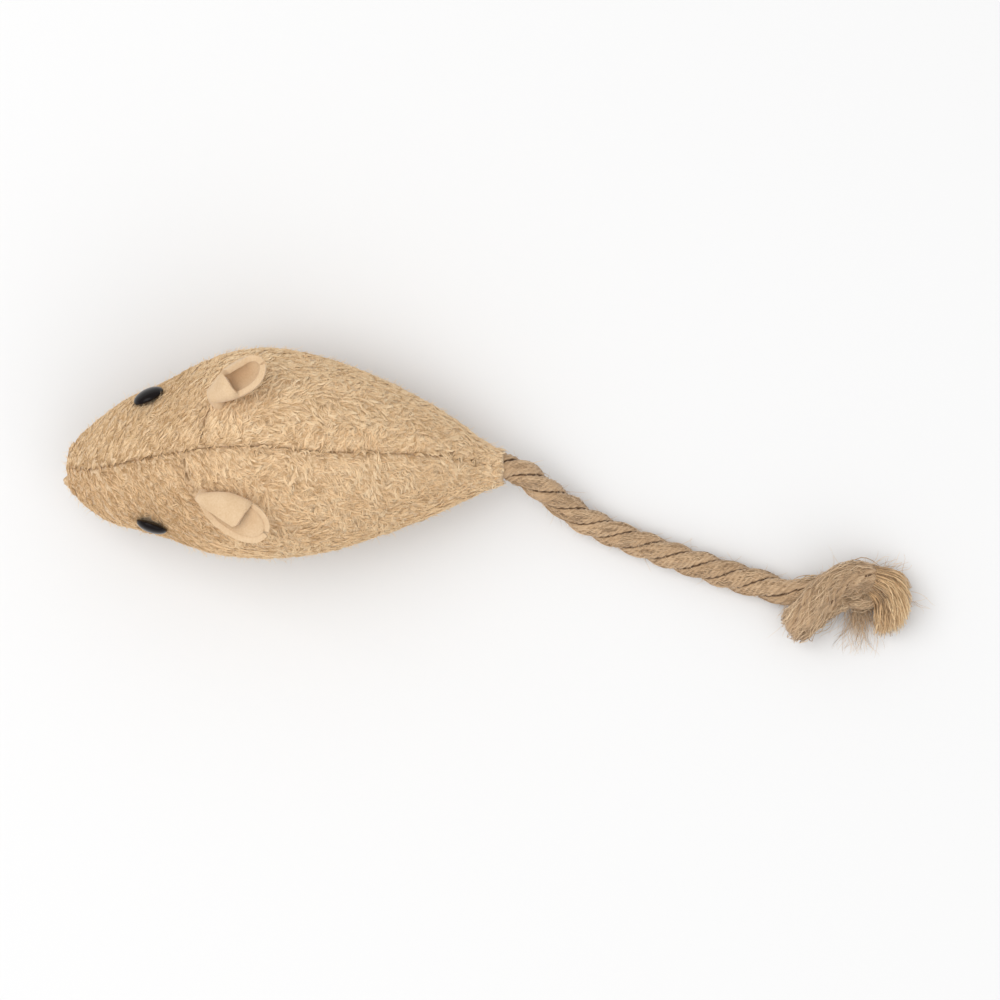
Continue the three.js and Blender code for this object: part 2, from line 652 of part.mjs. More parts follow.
const knotSide = knotWay.clone().cross(new THREE.Vector3(0, 0, 1));
const knotPlace = ([x, y, z]) =>
  new THREE.Vector3(0, 0, knotRise * z)
    .addScaledVector(knotWay, -knotReach * x)
    .addScaledVector(knotSide, knotReach * y);
const knotCurve = new THREE.CatmullRomCurve3(knotPlan().map(knotPlace));
const knotShift = entry.clone().sub(knotPlace(knotEntryShares[0]));
const knotLowest = Math.min(...knotCurve.getSpacedPoints(knotSamples).map((point) => point.z));
knotShift.z = knotRopeDiameter / 2 + restGap - knotLowest;
const knotRoute = knotPlan().map((point) => knotPlace(point).add(knotShift));
const knotExit = knotRoute.at(-1);
const knotExitWay = knotExit.clone().sub(knotRoute.at(-2)).normalize();

// The least gap between the knot's strands, measured on points of its route.
function leastGap(route) {
  const points = new THREE.CatmullRomCurve3(route).getSpacedPoints(knotSamples);
  const step = points[0].distanceTo(points[1]);
  const apart = Math.ceil((Math.PI * knotRopeDiameter) / 2 / step);
  let least = Infinity;
  for (let i = 0; i < points.length; i++) {
    for (let j = i + apart; j < points.length; j++) {
      least = Math.min(least, points[i].distanceTo(points[j]));
    }
  }
  return least - knotRopeDiameter;
}
console.log("least gap between the knot's strands: " + leastGap(knotRoute).toFixed(2) + " mm");

// The frayed end of the rope past the knot, a bundle of loosened yarns that widens to its end.
const tuftYarns = 7;
const tuftShares = [[0, 0], [0.25, 0.1], [0.6, 0.45], [0.9, 0.95], [1, 1]];
const tuftFluteShare = 0.12;
const tuftRing = 3 * tuftYarns;
function tuft() {
  const up = new THREE.Vector3(0, 0, 1);
  const way = knotExitWay.clone().setZ(0).normalize();
  const side = way.clone().cross(up);
  const start = knotExit.clone().addScaledVector(way, fitGap);
  const rings = tuftShares.map(([along, spread]) => {
    const middle = start.clone().addScaledVector(way, tuftLength * along);
    const radius = knotRopeDiameter / 2 + ((tuftEndDiameter - knotRopeDiameter) / 2) * spread;
    return Array.from({ length: tuftRing }, (_, i) => {
      const angle = (2 * Math.PI * i) / tuftRing;
      const bulge = radius * (1 + tuftFluteShare * spread * Math.cos(tuftYarns * angle));
      const point = middle.clone().addScaledVector(side, bulge * Math.cos(angle));
      point.addScaledVector(up, bulge * Math.sin(angle));
      return point.setZ(Math.max(point.z, 0));
    });
  });
  const end = start.clone().addScaledVector(way, tuftLength * (1 + tuftFluteShare));
  return solidOf(loft(start, rings, end));
}

const mouse = new THREE.Group();
function add(group, name, solid, material) {
  const mesh = new THREE.Mesh(geometryOf(solid), material);
  mesh.name = name;
  group.add(mesh);
  return mesh;
}

const body = new THREE.Group();
add(body, "left_side_panel", leftPanel, cloth);
add(body, "right_side_panel", rightPanel, cloth);
add(body, "belly_panel", bellyPanel, cloth);
add(body, "head_filling", headWad, fibre);
add(body, "rump_filling", rumpWad, fibre);
add(body, "catnip_ball", egg(0), herb);
add(body, "back_seam_thread", backThread(), thread);
add(body, "left_belly_seam_thread", bellyThread(bellySeamAngle), thread);
add(body, "right_belly_seam_thread", bellyThread(Math.PI - bellySeamAngle), thread);
add(body, "tail_stitch", tailStitch(), thread);
add(body, "tail_sewn_end", sewnEnd, jute);
for (const side of ["left", "right"]) {
  const earName = side + "_ear";
  const eyeName = side + "_eye";
  add(body, earName + "_dart_thread", dartThread(earName), thread);
  add(body, earName + "_foot", earRoots[earName].foot, felt);
  add(body, eyeName, eyes[eyeName].eye, eyePlastic);
  add(body, eyeName + "_washer", eyes[eyeName].washer, washerPlastic);
}
mouse.add(body);

for (const name of ["left_ear", "right_ear"]) {
  const { hinge, across, out, open } = earFrame(name);
  const turn = new THREE.Matrix4().makeBasis(across, out, open);
  const mesh = add(mouse, name, ear(name), felt);
  mesh.position.copy(hinge);
  mesh.setRotationFromMatrix(turn);
}

const tail = new THREE.Group();
add(tail, "tail_root", jointedStretch(swingPivot, rootRoute, rootEnd, rootSteps), jute);
add(tail, "tail_rope", jointedStretch(liftPivot, freeRoute.slice(0, -1), ropeEnd, freeSteps), jute);
add(tail, "tail_knot", solidOf(tube(knotRoute, knotRopeDiameter, knotSides, knotTubeSteps)), jute);
add(tail, "tail_tuft", tuft(), jute);
mouse.add(tail);

export default mouse;
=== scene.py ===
import math

import bpy
import numpy as np
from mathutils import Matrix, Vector, noise
from mathutils.kdtree import KDTree


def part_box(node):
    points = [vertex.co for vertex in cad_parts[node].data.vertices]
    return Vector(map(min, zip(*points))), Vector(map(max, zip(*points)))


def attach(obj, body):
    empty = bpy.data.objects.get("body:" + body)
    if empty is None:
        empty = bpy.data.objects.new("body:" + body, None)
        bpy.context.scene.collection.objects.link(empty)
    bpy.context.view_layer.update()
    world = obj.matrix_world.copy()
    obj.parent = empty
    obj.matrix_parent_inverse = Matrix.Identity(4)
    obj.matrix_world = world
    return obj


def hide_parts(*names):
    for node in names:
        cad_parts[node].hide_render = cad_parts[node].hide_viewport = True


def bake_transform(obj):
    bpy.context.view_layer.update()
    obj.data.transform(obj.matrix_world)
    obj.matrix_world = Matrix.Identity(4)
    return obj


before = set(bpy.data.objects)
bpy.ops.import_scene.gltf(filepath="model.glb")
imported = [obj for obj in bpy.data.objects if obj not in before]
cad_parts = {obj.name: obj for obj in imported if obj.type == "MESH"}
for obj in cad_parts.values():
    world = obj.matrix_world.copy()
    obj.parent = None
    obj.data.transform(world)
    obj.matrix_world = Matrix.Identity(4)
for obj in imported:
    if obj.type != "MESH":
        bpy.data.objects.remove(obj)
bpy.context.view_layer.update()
bpy.ops.object.select_all(action="DESELECT")


# The mouse lies on a white table and is seen from straight above with its nose to the left.
# The camera hangs over the middle of mouse and tail on a long lens.
camera_height = 1.6
view_width = 0.143
view_centre = (0.0067, 0.0305)
bpy.ops.object.camera_add(location=(*view_centre, camera_height), rotation=(0, 0, math.radians(90)))
camera = bpy.context.object
camera.data.lens = camera.data.sensor_width * camera_height / view_width
bpy.context.scene.camera = camera

table_size = 4
table_gap = 0.00002
bpy.ops.mesh.primitive_plane_add(size=table_size, location=(0, 0, -table_gap))
table = bpy.context.object
table.name = "table"


def shade(red, green, blue):
    """A colour given as it shows on screen, from 0 to 255, in the renderer's linear light."""
    screen = np.array([red, green, blue]) / 255
    linear = np.where(screen <= 0.04045, screen / 12.92, ((screen + 0.055) / 1.055) ** 2.4)
    return (*linear.tolist(), 1)


def new_material(name, **finish):
    """A material with its shader's settings, a short way to add nodes to it and one to link them in."""
    made = bpy.data.materials.new(name)
    made.use_nodes = True
    tree = made.node_tree
    shader = tree.nodes["Principled BSDF"]
    for key, value in finish.items():
        shader.inputs[key.replace("_", " ")].default_value = value

    def node(kind, links=(), **settings):
        added = tree.nodes.new(kind)
        for key, value in settings.items():
            if hasattr(added, key):
                setattr(added, key, value)
            else:
                added.inputs[key.replace("_", " ")].default_value = value
        for socket, source in dict(links).items():
            tree.links.new(source, added.inputs[socket])
        return added

    def into(socket, source):
        tree.links.new(source, shader.inputs[socket])

    return made, node, into


table_paint, node, into = new_material(
    "table_white", Base_Color=shade(228, 228, 228), Roughness=0.6, Specular_IOR_Level=0.2
)
table.data.materials.append(table_paint)

world = bpy.data.worlds.new("studio")
bpy.context.scene.world = world
world.use_nodes = True
sky = world.node_tree.nodes
air = sky["Background"]
air.inputs["Color"].default_value = (1, 1, 1, 1)
rays = sky.new("ShaderNodeLightPath")
seen = sky.new("ShaderNodeMath")
seen.operation = "MAXIMUM"
sky_light, sky_in_view = 0.78, 1
level = sky.new("ShaderNodeMapRange")
level.inputs["To Min"].default_value = sky_light
level.inputs["To Max"].default_value = sky_in_view
link = world.node_tree.links.new
link(rays.outputs["Is Camera Ray"], seen.inputs[0])
link(rays.outputs["Is Transmission Ray"], seen.inputs[1])
link(seen.outputs[0], level.inputs["Value"])
link(level.outputs["Result"], air.inputs["Strength"])

bpy.context.scene.view_settings.view_transform = "Standard"
for name, place, power, width in [
    ("window", (-0.08, -0.34, 0.75), 3.4, 0.7),
    ("fill", (0.4, 0.3, 0.6), 1.25, 0.8),
]:
    bpy.ops.object.light_add(type="AREA", location=place)
    lamp = bpy.context.object
    lamp.name = name
    lamp.data.energy = power
    lamp.data.size = width
    aim = Vector((*view_centre, 0)) - Vector(place)
    lamp.rotation_euler = aim.to_track_quat("-Z", "Y").to_euler()


# Tail: one piece of raw jute rope, 4 mm thick, three strands laid to the left. It is sewn into the
# rear seam, falls to the table over its root stretch and runs on it to the knot.
mm = 0.001
rope_diameter = 4 * mm
rope_lay = 12.5 * mm
sewn_points = [(2.0, 25.0, 7.2), (2.0, 28.0, 7.2), (2.0, 31.0, 7.15)]
swing_point = (2.6, 33.3, 6.9)
root_points = [(4.3, 35.7, 5.9), (6.2, 38.1, 4.7)]
lift_point = (8.0, 40.4, 3.6)
free_points = [
    (9.9, 43.3, 2.7), (11.7, 47.4, 2.1), (13.4, 51.7, 2.05), (14.9, 55.7, 2.05),
    (16.3, 59.8, 2.05), (17.6, 63.8, 2.05), (18.8, 67.9, 2.05), (19.9, 71.6, 2.05),
]


def unit(vectors):
    return vectors / np.maximum(np.linalg.norm(vectors, axis=-1, keepdims=True), 1e-12)


def reach_along(line):
    """How far along a line each of its points lies."""
    return np.concatenate([[0], np.cumsum(np.linalg.norm(np.diff(line, axis=0), axis=1))])


def smooth_line(points, step):
    """Points at even steps along a smooth curve through the given points."""
    points = np.array(points, float)
    ends = [2 * points[0] - points[1], *points, 2 * points[-1] - points[-2]]
    dense = []
    t = np.linspace(0, 1, 24, endpoint=False)[:, None]
    for a, b, c, d in zip(ends, ends[1:], ends[2:], ends[3:]):
        bend = (2 * a - 5 * b + 4 * c - d) * t**2 + (3 * b - a - 3 * c + d) * t**3
        dense.append((2 * b + (c - a) * t + bend) / 2)
    dense = np.vstack([*dense, points[-1:]])
    reach = reach_along(dense)
    even = np.linspace(0, reach[-1], max(2, round(reach[-1] / step)) + 1)
    return np.stack([np.interp(even, reach, dense[:, i]) for i in range(3)], axis=1), even


# The knot, pulled tight: the rope goes in under its own wrap, turns back below it, bulges out in front
# as a fat lobe and wraps up over itself to the far side, where its end comes out.
knot_points = [
    (20.0, 74.6, 2.8), (19.5, 77.4, 3.3), (18.9, 80.0, 3.3), (18.8, 82.0, 2.8), (19.8, 83.3, 2.3),
    (20.5, 82.2, 2.1), (20.0, 80.2, 2.1), (21.0, 77.4, 2.1), (22.7, 75.1, 2.1), (23.9, 73.6, 2.6),
    (24.2, 73.3, 3.7), (23.0, 74.5, 4.9), (20.9, 76.1, 5.5), (19.1, 77.7, 5.7), (18.2, 79.5, 5.3),
    (17.9, 81.3, 4.7), (18.0, 83.0, 4.1), (18.4, 84.3, 3.6),
]

rope_step = 0.22 * mm
rest_height = 0.02 * mm
tail_points = np.array(
    [*sewn_points, swing_point, *root_points, lift_point, *free_points, *knot_points]
)
tail_line, tail_reach = smooth_line(tail_points * mm, rope_step)


def nearest(point):
    """The place on the tail's line, counted in steps, that is nearest to a point in millimetres."""
    return int(np.linalg.norm(tail_line - np.array(point) * mm, axis=1).argmin())


split_step = nearest((np.array(swing_point) + np.array(lift_point)) / 2)
knot_step = nearest(free_points[-1])

# The strands turn about the line on axes that are carried along it without twisting.
tail_way = unit(np.gradient(tail_line, axis=0))
tail_side = np.zeros_like(tail_line)
side = np.array([1.0, 0, 0])
for i, way in enumerate(tail_way):
    side = unit(side - way * (side @ way))
    tail_side[i] = side
tail_up = np.cross(tail_way, tail_side)
# Through the knot the rope's thickness changes, and its strands open to one bundle of fibres
knot_start = tail_reach[knot_step]
tail_thickness = mm * np.interp(
    (tail_reach - knot_start) / mm,
    [-14, -8, -3, 3, 9, 20, 24, 30, 36, 39], [4, 4.3, 4.1, 3.8, 4, 4.3, 4.9, 5, 4.6, 4.2],
)
tail_opening = np.interp((tail_reach - knot_start) / mm, [-4, 5], [0, 1])
tail_turn = -2 * math.pi * np.cumsum(rope_step / (rope_lay * (1 + 2 * tail_opening)))
strand_share = 0.61 + 0.19 * tail_opening


def finish_with(made, material):
    """Gives a piece its one finish and the material slot that it stands for."""
    made.data.materials.clear()
    made.data.materials.append(material)


def keep_on_points(mesh, name, values):
    """Keeps a number or a vector for each point of a mesh, for its material to read."""
    kind, key = ("FLOAT", "value") if values.ndim == 1 else ("FLOAT_VECTOR", "vector")
    mesh.attributes.new(name, kind, "POINT")
    mesh.attributes[name].data.foreach_set(key, values.astype(np.float32).ravel())


def solid_tubes(name, lines, ups, half, tones, material, grain_step, shares=None, pointed=False):
    """One mesh of many closed tubes. Each runs along its own row of points and has an upward side.
    Its half size is given for each point, and for each of its sides unless it has three alike. Each
    point keeps its tube's tone, its share of the way and, as its grain, where on the tube it lies."""
    if half.ndim == 2:
        half = np.repeat(half[..., None], 3, axis=2)
    ups = np.broadcast_to(ups, lines.shape)
    tips = lines[:, -1:]
    if pointed:
        lines, half, ups = lines[:, :-1], half[:, :-1], ups[:, :-1]
    count, rows, sides = half.shape
    ways = unit(np.gradient(lines, axis=1))
    across = unit(np.cross(ways, ups))
    tops = np.cross(across, ways)
    angles = np.linspace(0, 2 * math.pi, sides, endpoint=False)
    cross_x, cross_y = half * np.cos(angles), half * np.sin(angles)
    rings = lines[:, :, None] + across[:, :, None] * cross_x[..., None]
    rings = rings + tops[:, :, None] * cross_y[..., None]
    points = np.concatenate([rings.reshape(count, -1, 3), lines[:, :1], tips], axis=1)
    points[..., 2] = np.maximum(points[..., 2], rest_height)
    i, j = np.arange(rows - 1)[:, None] * sides, np.arange(sides)
    k = (j + 1) % sides
    a, b, c, d = i + j, i + k, i + sides + k, i + sides + j
    top, first = (rows - 1) * sides, rows * sides
    caps = [np.full(sides, first), k, j], [np.full(sides, first + 1), top + j, top + k]
    one = np.concatenate([np.stack(face, -1).reshape(-1, 3) for face in ([a, b, c], [a, c, d], *caps)])
    size = first + 2
    faces = (one + (np.arange(count) * size)[:, None, None]).reshape(-1, 3)

    mesh = bpy.data.meshes.new(name)
    mesh.vertices.add(count * size)
    mesh.vertices.foreach_set("co", points.astype(np.float32).ravel())
    mesh.loops.add(faces.size)
    mesh.loops.foreach_set("vertex_index", faces.astype(np.int32).ravel())
    mesh.polygons.add(len(faces))
    mesh.polygons.foreach_set("loop_start", np.arange(0, faces.size, 3, dtype=np.int32))
    mesh.polygons.foreach_set("use_smooth", np.ones(len(faces), dtype=bool))
    mesh.update(calc_edges=True)

    steps = np.linalg.norm(np.diff(lines, axis=1), axis=2)
    along = np.concatenate([np.zeros((count, 1)), np.cumsum(steps, axis=1)], axis=1)
    grain = np.stack([cross_x, cross_y, np.broadcast_to(along[..., None], half.shape)], axis=-1)
    ends = np.zeros((count, 2, 3))
    ends[:, 1, 2] = along[:, -1]
    grain = np.concatenate([grain.reshape(count, -1, 3), ends], axis=1)
    grain = grain + np.arange(count)[:, None, None] * grain_step
    shares = np.linspace(0, 1, rows)[None, :, None] if shares is None else shares
    shares = np.broadcast_to(shares, half.shape).reshape(count, -1)
    shares = np.concatenate([shares, shares[:, :1], shares[:, -1:]], axis=1)
    keep_on_points(mesh, "grain", grain.reshape(-1, 3))
    keep_on_points(mesh, "tone", np.repeat(tones, size))
    keep_on_points(mesh, "share", shares.ravel())
    made = bpy.data.objects.new(name, mesh)
    bpy.context.scene.collection.objects.link(made)
    finish_with(made, material)
    return made


def half_sum(node, *values):
    """Half of what the values add up to."""
    total = values[0]
    for value in values[1:]:
        total = node("ShaderNodeMath", {0: total, 1: value}, operation="ADD").outputs[0]
    half = node("ShaderNodeMath", {0: total}, operation="MULTIPLY")
    half.inputs[1].default_value = 0.5
    return half.outputs[0]


def dented(node, into, height, strength, depth):
    """Small dents that follow a noise."""
    dents = node("ShaderNodeBump", {"Height": height}, Strength=strength, Distance=depth)
    into("Normal", dents.outputs["Normal"])


def fibre_material(
    name, dark, middle, light, grain_width, bump=0.5, sheen=0.2, root=-0.18, tip=0.12, shine=0.25
):
    """Spun or brushed fibre: fine lines that run along each tube, with painted shade at roots and grooves
    and painted light at the ends.
    """
    made, node, into = new_material(
        name, Roughness=0.9, Sheen_Weight=sheen, Sheen_Roughness=0.5, Specular_IOR_Level=shine
    )
    grain = node("ShaderNodeAttribute", attribute_name="grain")
    tone = node("ShaderNodeAttribute", attribute_name="tone")
    share = node("ShaderNodeAttribute", attribute_name="share")
    fine = 1 / grain_width
    run = node("ShaderNodeMapping", {"Vector": grain.outputs["Vector"]}, Scale=(fine, fine, 0.08 * fine))
    lines = node("ShaderNodeTexNoise", {"Vector": run.outputs[0]}, Scale=1.0, Detail=3.0)
    # painted shade and light: a low share darkens the fibre, a high one lightens it
    tips = node("ShaderNodeMapRange", {"Value": share.outputs["Fac"]}, To_Min=root, To_Max=tip)
    level = half_sum(node, tone.outputs["Fac"], lines.outputs["Fac"], tips.outputs[0])
    ramp = node("ShaderNodeValToRGB", {"Fac": level})
    stops = ramp.color_ramp.elements
    stops[0].position, stops[0].color = 0.22, dark
    stops[1].position, stops[1].color = 0.8, light
    stops.new(0.52).color = middle
    into("Base Color", ramp.outputs["Color"])
    dented(node, into, lines.outputs["Fac"], strength=bump, depth=grain_width)
    return made


# the jute's strong root setting paints dark shade into the grooves between strands
jute = fibre_material(
    "jute", dark=shade(87, 63, 41), middle=shade(184, 153, 119), light=shade(214, 187, 153),
    grain_width=0.0002, bump=0.9, root=-1.1, tip=0.1,
)
loose_jute = fibre_material(
    "loose_jute", dark=shade(150, 119, 86), middle=shade(211, 180, 144), light=shade(240, 214, 178),
    grain_width=0.0001,
)
strand_sides = 32
yarns = 7
yarn_depth = 0.07
yarn_turn_share = -1.8
strand_tones = np.array([0.44, 0.5, 0.56])
strand_grain = 10 * mm
loose_grain = 3 * mm
tuck_steps = 8
tucked = 0.93
# a fibre's length and half thickness are ranges in millimetres
yarn_fibre_lengths = (2.4, 5.5)
yarn_fibre_halves = (0.035, 0.08)
yarn_fibre_margin = 4 * mm
yarn_fibre_dive = 0.14 * mm
yarn_fibre_rise = 0.09 * mm
yarn_fibre_share = 0.6
stray_half = 0.03 * mm


def strand_turn(strand, steps):
    """How far a strand has turned about the tail's line at given steps."""
    return tail_turn[steps] + 2 * math.pi * strand / 3


def outward(steps, angle):
    """The way out of the tail's line at given steps, at an angle round it."""
    return tail_side[steps] * np.cos(angle)[..., None] + tail_up[steps] * np.sin(angle)[..., None]


def laid_rope(name, first, last):
    """The three strands of the tail between two steps of its line, with their yarns as flutes. Both
    ends run on a little way, ever thinner, inside the stretches next to it."""
    steps = np.arange(max(first - tuck_steps, 0), min(last + tuck_steps, len(tail_line) - 1) + 1)
    ends = [first - tuck_steps, first, last, last + tuck_steps]
    thick = tail_thickness[steps] * np.interp(steps, ends, [tucked, 1, 1, tucked])
    share = strand_share[steps]
    turn = strand_turn(np.arange(3)[:, None], steps[None])
    out = outward(steps[None], turn)
    lines = tail_line[steps][None] + out * (thick * (1 - share) / 2)[None, :, None]
    # an angle of a quarter turn on a strand's ring faces outward
    angles = np.linspace(0, 2 * math.pi, strand_sides, endpoint=False)
    flute = 1 - yarn_depth * (1 + np.cos(yarns * (angles - yarn_turn_share * turn[..., None])))
    wander = [[noise.noise(Vector((7 * j, s * 600, 0))) for s in tail_reach[steps]] for j in range(3)]
    half = (thick * share / 2)[None, :, None] * flute * (1 + 0.13 * np.array(wander)[..., None])
    # painted shade: dark where a strand dips between its neighbours
    shares = np.clip((np.sin(angles) - 0.02) / 0.36, 0, 1)[None, None]
    return solid_tubes(name, lines, out, half, strand_tones, jute, strand_grain, shares)


def lying_fibres(name, first, last, count, seed, lifted=0.4, tone=0.35):
    """Fibres of the yarns, which come up out of one groove of the rope and go down into the next."""
    random = np.random.default_rng(seed)
    rows = 8
    length = random.uniform(*yarn_fibre_lengths, count) * mm
    start = random.integers(first, max(first + 1, last - round(yarn_fibre_margin / rope_step)), count)
    reach = length[:, None] * np.linspace(0, 1, rows)
    steps = np.minimum(start[:, None] + np.round(reach / rope_step).astype(int), last)
    strand = random.integers(0, 3, count)[:, None]
    turn = strand_turn(strand, steps)
    up = outward(steps, turn)
    aside = np.cross(tail_way[steps], up)
    turned = turn - turn[:, rows // 2 : rows // 2 + 1]
    around = np.clip(random.normal(0, 0.5, count), -0.75, 0.75)[:, None] + yarn_turn_share * 0.5 * turned
    around = around + random.normal(0, 0.12, (count, rows))
    radius = tail_thickness[steps] * strand_share[steps] / 2
    centre = tail_line[steps] + up * (tail_thickness[steps] / 2 - radius)[..., None]
    arch = np.sin(math.pi * np.linspace(0.02, 0.98, rows))[None]
    lift = radius * random.uniform(0.9, 1.0, count)[:, None] - yarn_fibre_dive * (1 - arch)
    lift = lift + yarn_fibre_rise * lifted * arch * random.gamma(1.2, 0.8, count)[:, None]
    out = up * np.cos(around)[..., None] + aside * np.sin(around)[..., None]
    lines = centre + out * lift[..., None]
    half = mm * random.uniform(*yarn_fibre_halves, count)[:, None] * (0.35 + 0.65 * arch)
    tones = tone + random.uniform(-0.4, 0.4, count)
    return solid_tubes(
        name, lines, out, half, tones, loose_jute, loose_grain, yarn_fibre_share, pointed=True
    )


def stray_fibres(name, first, last, count, length, lift, seed):
    """Stray fibres of the rope: each leaves its surface, curls and comes to a point."""
    random = np.random.default_rng(seed)
    rows = 6
    steps = random.integers(first, last, count)
    out = outward(steps, random.uniform(0, 2 * math.pi, count))
    around = np.cross(tail_way[steps], out)
    radius = tail_thickness[steps] * random.uniform(0.34, 0.46, count)
    start = tail_line[steps] + out * radius[:, None]
    forward = random.choice([-1, 1], count, p=[0.35, 0.65])
    way = unit(tail_way[steps] * forward[:, None] + around * random.normal(0.5, 0.5, count)[:, None])
    size = (length * np.clip(random.gamma(2.4, 0.4, count), 0.2, 2.2))[:, None, None]
    rise = (lift * np.clip(random.gamma(1.2, 0.8, count), 0, 3))[:, None, None]
    curl = random.normal(0, 0.55, (count, 3))
    spin = random.uniform(-3.5, 3.5, count)[:, None, None]
    t = np.linspace(0, 1, rows)[None, :, None]
    lines = start[:, None] + way[:, None] * np.sin(1.3 * t) / 1.3 * size
    lines = lines + out[:, None] * (t**1.4 * rise - 0.3 * t**2 * size / rope_diameter) * size
    lines = lines + curl[:, None] * t**2 * size * 0.4
    lines = lines + around[:, None] * np.sin(spin * t) * size * 0.16
    half = stray_half * random.uniform(0.6, 1.3, count)[:, None] * np.linspace(1, 0.4, rows)
    tones = random.uniform(0.3, 0.9, count)
    ups = out[:, None]
    return solid_tubes(name, lines, ups, half, tones, loose_jute, loose_grain, pointed=True)


root_way = tail_way[nearest(swing_point)]
lift_way = tail_way[nearest(lift_point)]

rope_root = laid_rope("rope_root", 0, split_step)
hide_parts("tail_root", "tail_sewn_end")
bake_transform(rope_root)
seam_step = nearest((2.0, 31.4, 7.1))
root_fibres = [
    lying_fibres("rope_root_yarns", seam_step, split_step, 240, seed=2),
    stray_fibres("rope_root_fibres", seam_step, split_step, 170, 1.3 * mm, 0.4, seed=3),
]
for fibres in root_fibres:
    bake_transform(fibres)

rope_free = laid_rope("rope_free", split_step, knot_step)
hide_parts("tail_rope")
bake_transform(rope_free)
free_fibres = [
    lying_fibres("rope_free_yarns", split_step, knot_step, 1300, seed=4),
    stray_fibres("rope_free_fibres", split_step, knot_step, 800, 1.3 * mm, 0.35, seed=5),
]
for fibres in free_fibres:
    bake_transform(fibres)


# Knot and frayed end: the same rope pulled into an overhand knot, which loosens and roughens it.
# Past the knot the strands come undone into a brush of loose fibres, paler where it is cut, with painted
# shade towards the knot and painted light at the cut ends.
last_step = len(tail_line) - 1
rope_knot = laid_rope("rope_knot", knot_step, last_step)
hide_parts("tail_knot")
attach(rope_knot, "tail_free")
knot_fibres = [
    lying_fibres("rope_knot_yarns", knot_step, last_step, 2700, seed=6, lifted=2.2, tone=0.55),
    stray_fibres("rope_knot_fibres", knot_step, last_step, 1900, 1.2 * mm, 0.4, seed=7),
    stray_fibres("rope_end_fibres", last_step - 30, last_step, 260, 1.6 * mm, 0.5, seed=8),
]
for fibres in knot_fibres:
    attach(fibres, "tail_free")

# The brush starts a little way inside the knot, fans out and arcs over to the table
fray_count = 2000
fray_rows = 7
fray_length = 6.3 * mm
fray_start = 1.2 * mm
fray_half = 0.068 * mm
fray_arc = np.array([0.5, -0.25, -0.4])
fan_middle, fan_spread = 28, 33
climb_middle, climb_spread = 6, 24
random = np.random.default_rng(11)
radius = 0.5 * tail_thickness[-1] * np.sqrt(random.uniform(0, 1, fray_count))
out = outward(-1, random.uniform(0, 2 * math.pi, fray_count))
t = np.linspace(0, 1, fray_rows)[None, :, None]
from_middle = out * (radius / radius.max())[:, None]
low_side = np.maximum(from_middle[:, 0], 0)
fray_size = fray_length * random.uniform(0.74, 1.02, fray_count) * (1 - 0.4 * low_side)
fray_size = (fray_size * (1 + 0.12 * np.minimum(from_middle[:, 0], 0)))[:, None, None]
fan = np.radians(fan_middle + fan_spread * from_middle[:, 0] + random.normal(0, 7, fray_count))
climb = np.radians(climb_middle + climb_spread * from_middle[:, 2] + random.normal(0, 6, fray_count))
way = np.stack([np.sin(fan) * np.cos(climb), np.cos(fan) * np.cos(climb), np.sin(climb)], axis=-1)
aside = np.stack([np.cos(fan), -np.sin(fan), 0 * fan], axis=-1)
wave = random.uniform(3, 7, (fray_count, 1, 1)) * t + random.uniform(0, 6, (fray_count, 1, 1))
lines = tail_line[-1] - tail_way[-1] * fray_start + out[:, None] * radius[:, None, None]
lines = lines + tail_way[-1] * np.minimum(1, 4 * t) * fray_start + way[:, None] * t * fray_size
lines = lines + fray_arc * t**2 * fray_size
sway = 0.06 + 0.1 * low_side[:, None, None]
lines = lines + aside[:, None] * np.sin(wave) * t**1.5 * sway * fray_size
half = fray_half * random.uniform(0.6, 1.3, fray_count)[:, None] * np.linspace(1, 0.6, fray_rows)
# the cut jute gets painted shade at the fibres' roots in the knot and painted light at their cut ends
cut_jute = fibre_material(
    "cut_jute", dark=shade(124, 92, 60), middle=shade(222, 184, 137), light=shade(250, 222, 178),
    grain_width=0.0001, root=-0.3, tip=0.16,
)
tones = random.uniform(0.2, 1.05, fray_count) - 0.15 * low_side
rope_fray = solid_tubes("rope_fray", lines, out[:, None], half, tones, cut_jute, loose_grain)
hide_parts("tail_tuft")
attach(rope_fray, "tail_free")

# Combings that hang out of the knot: where they leave it, how many, which way and how far in millimetres
combing_half = 0.035 * mm
combing_rows = 9
random = np.random.default_rng(12)
for number, (place, many, heading, reach) in enumerate([
    ((22.2, 81.8, 1.7), 190, (0.9, -0.05, -0.15), 4.4), ((16.8, 85.4, 3.6), 24, (-0.5, 0.7, 0.1), 2.4),
    ((21.0, 88.0, 2.4), 12, (0.5, 0.8, -0.1), 2.8), ((21.8, 72.6, 1.6), 14, (0.7, -0.6, -0.1), 1.6),
]):
    t = np.linspace(0, 1, combing_rows)[None, :, None]
    start = np.array(place) + random.normal(0, 1, (many, 3)) * (0.6, 1.1, 0.4)
    way = unit(np.array(heading) + random.normal(0, 0.34, (many, 3)) * (1, 1, 0.3))
    size = reach * np.clip(random.gamma(5, 0.2, (many, 1, 1)), 0.3, 1.5)
    wave = random.uniform(2, 6, (many, 1, 1)) * t + random.uniform(0, 6, (many, 1, 1))
    aside = np.cross(way, (0, 0, 1))[:, None]
    lines = start[:, None] + way[:, None] * t * size + aside * 0.16 * size * t * np.sin(wave)
    lines[..., 2] += 0.1 * (size * t * np.cos(1.3 * wave))[..., 0]
    half = combing_half * np.linspace(1, 0.4, combing_rows) * np.ones((many, 1))
    tones = random.uniform(0.3, 0.95, many)
    ups = (0.0, 0.0, 1.0)
    made = solid_tubes(
        f"rope_combings_{number}", lines * mm, ups, half, tones, loose_jute, loose_grain,
        pointed=True,
    )
    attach(made, "tail_free")


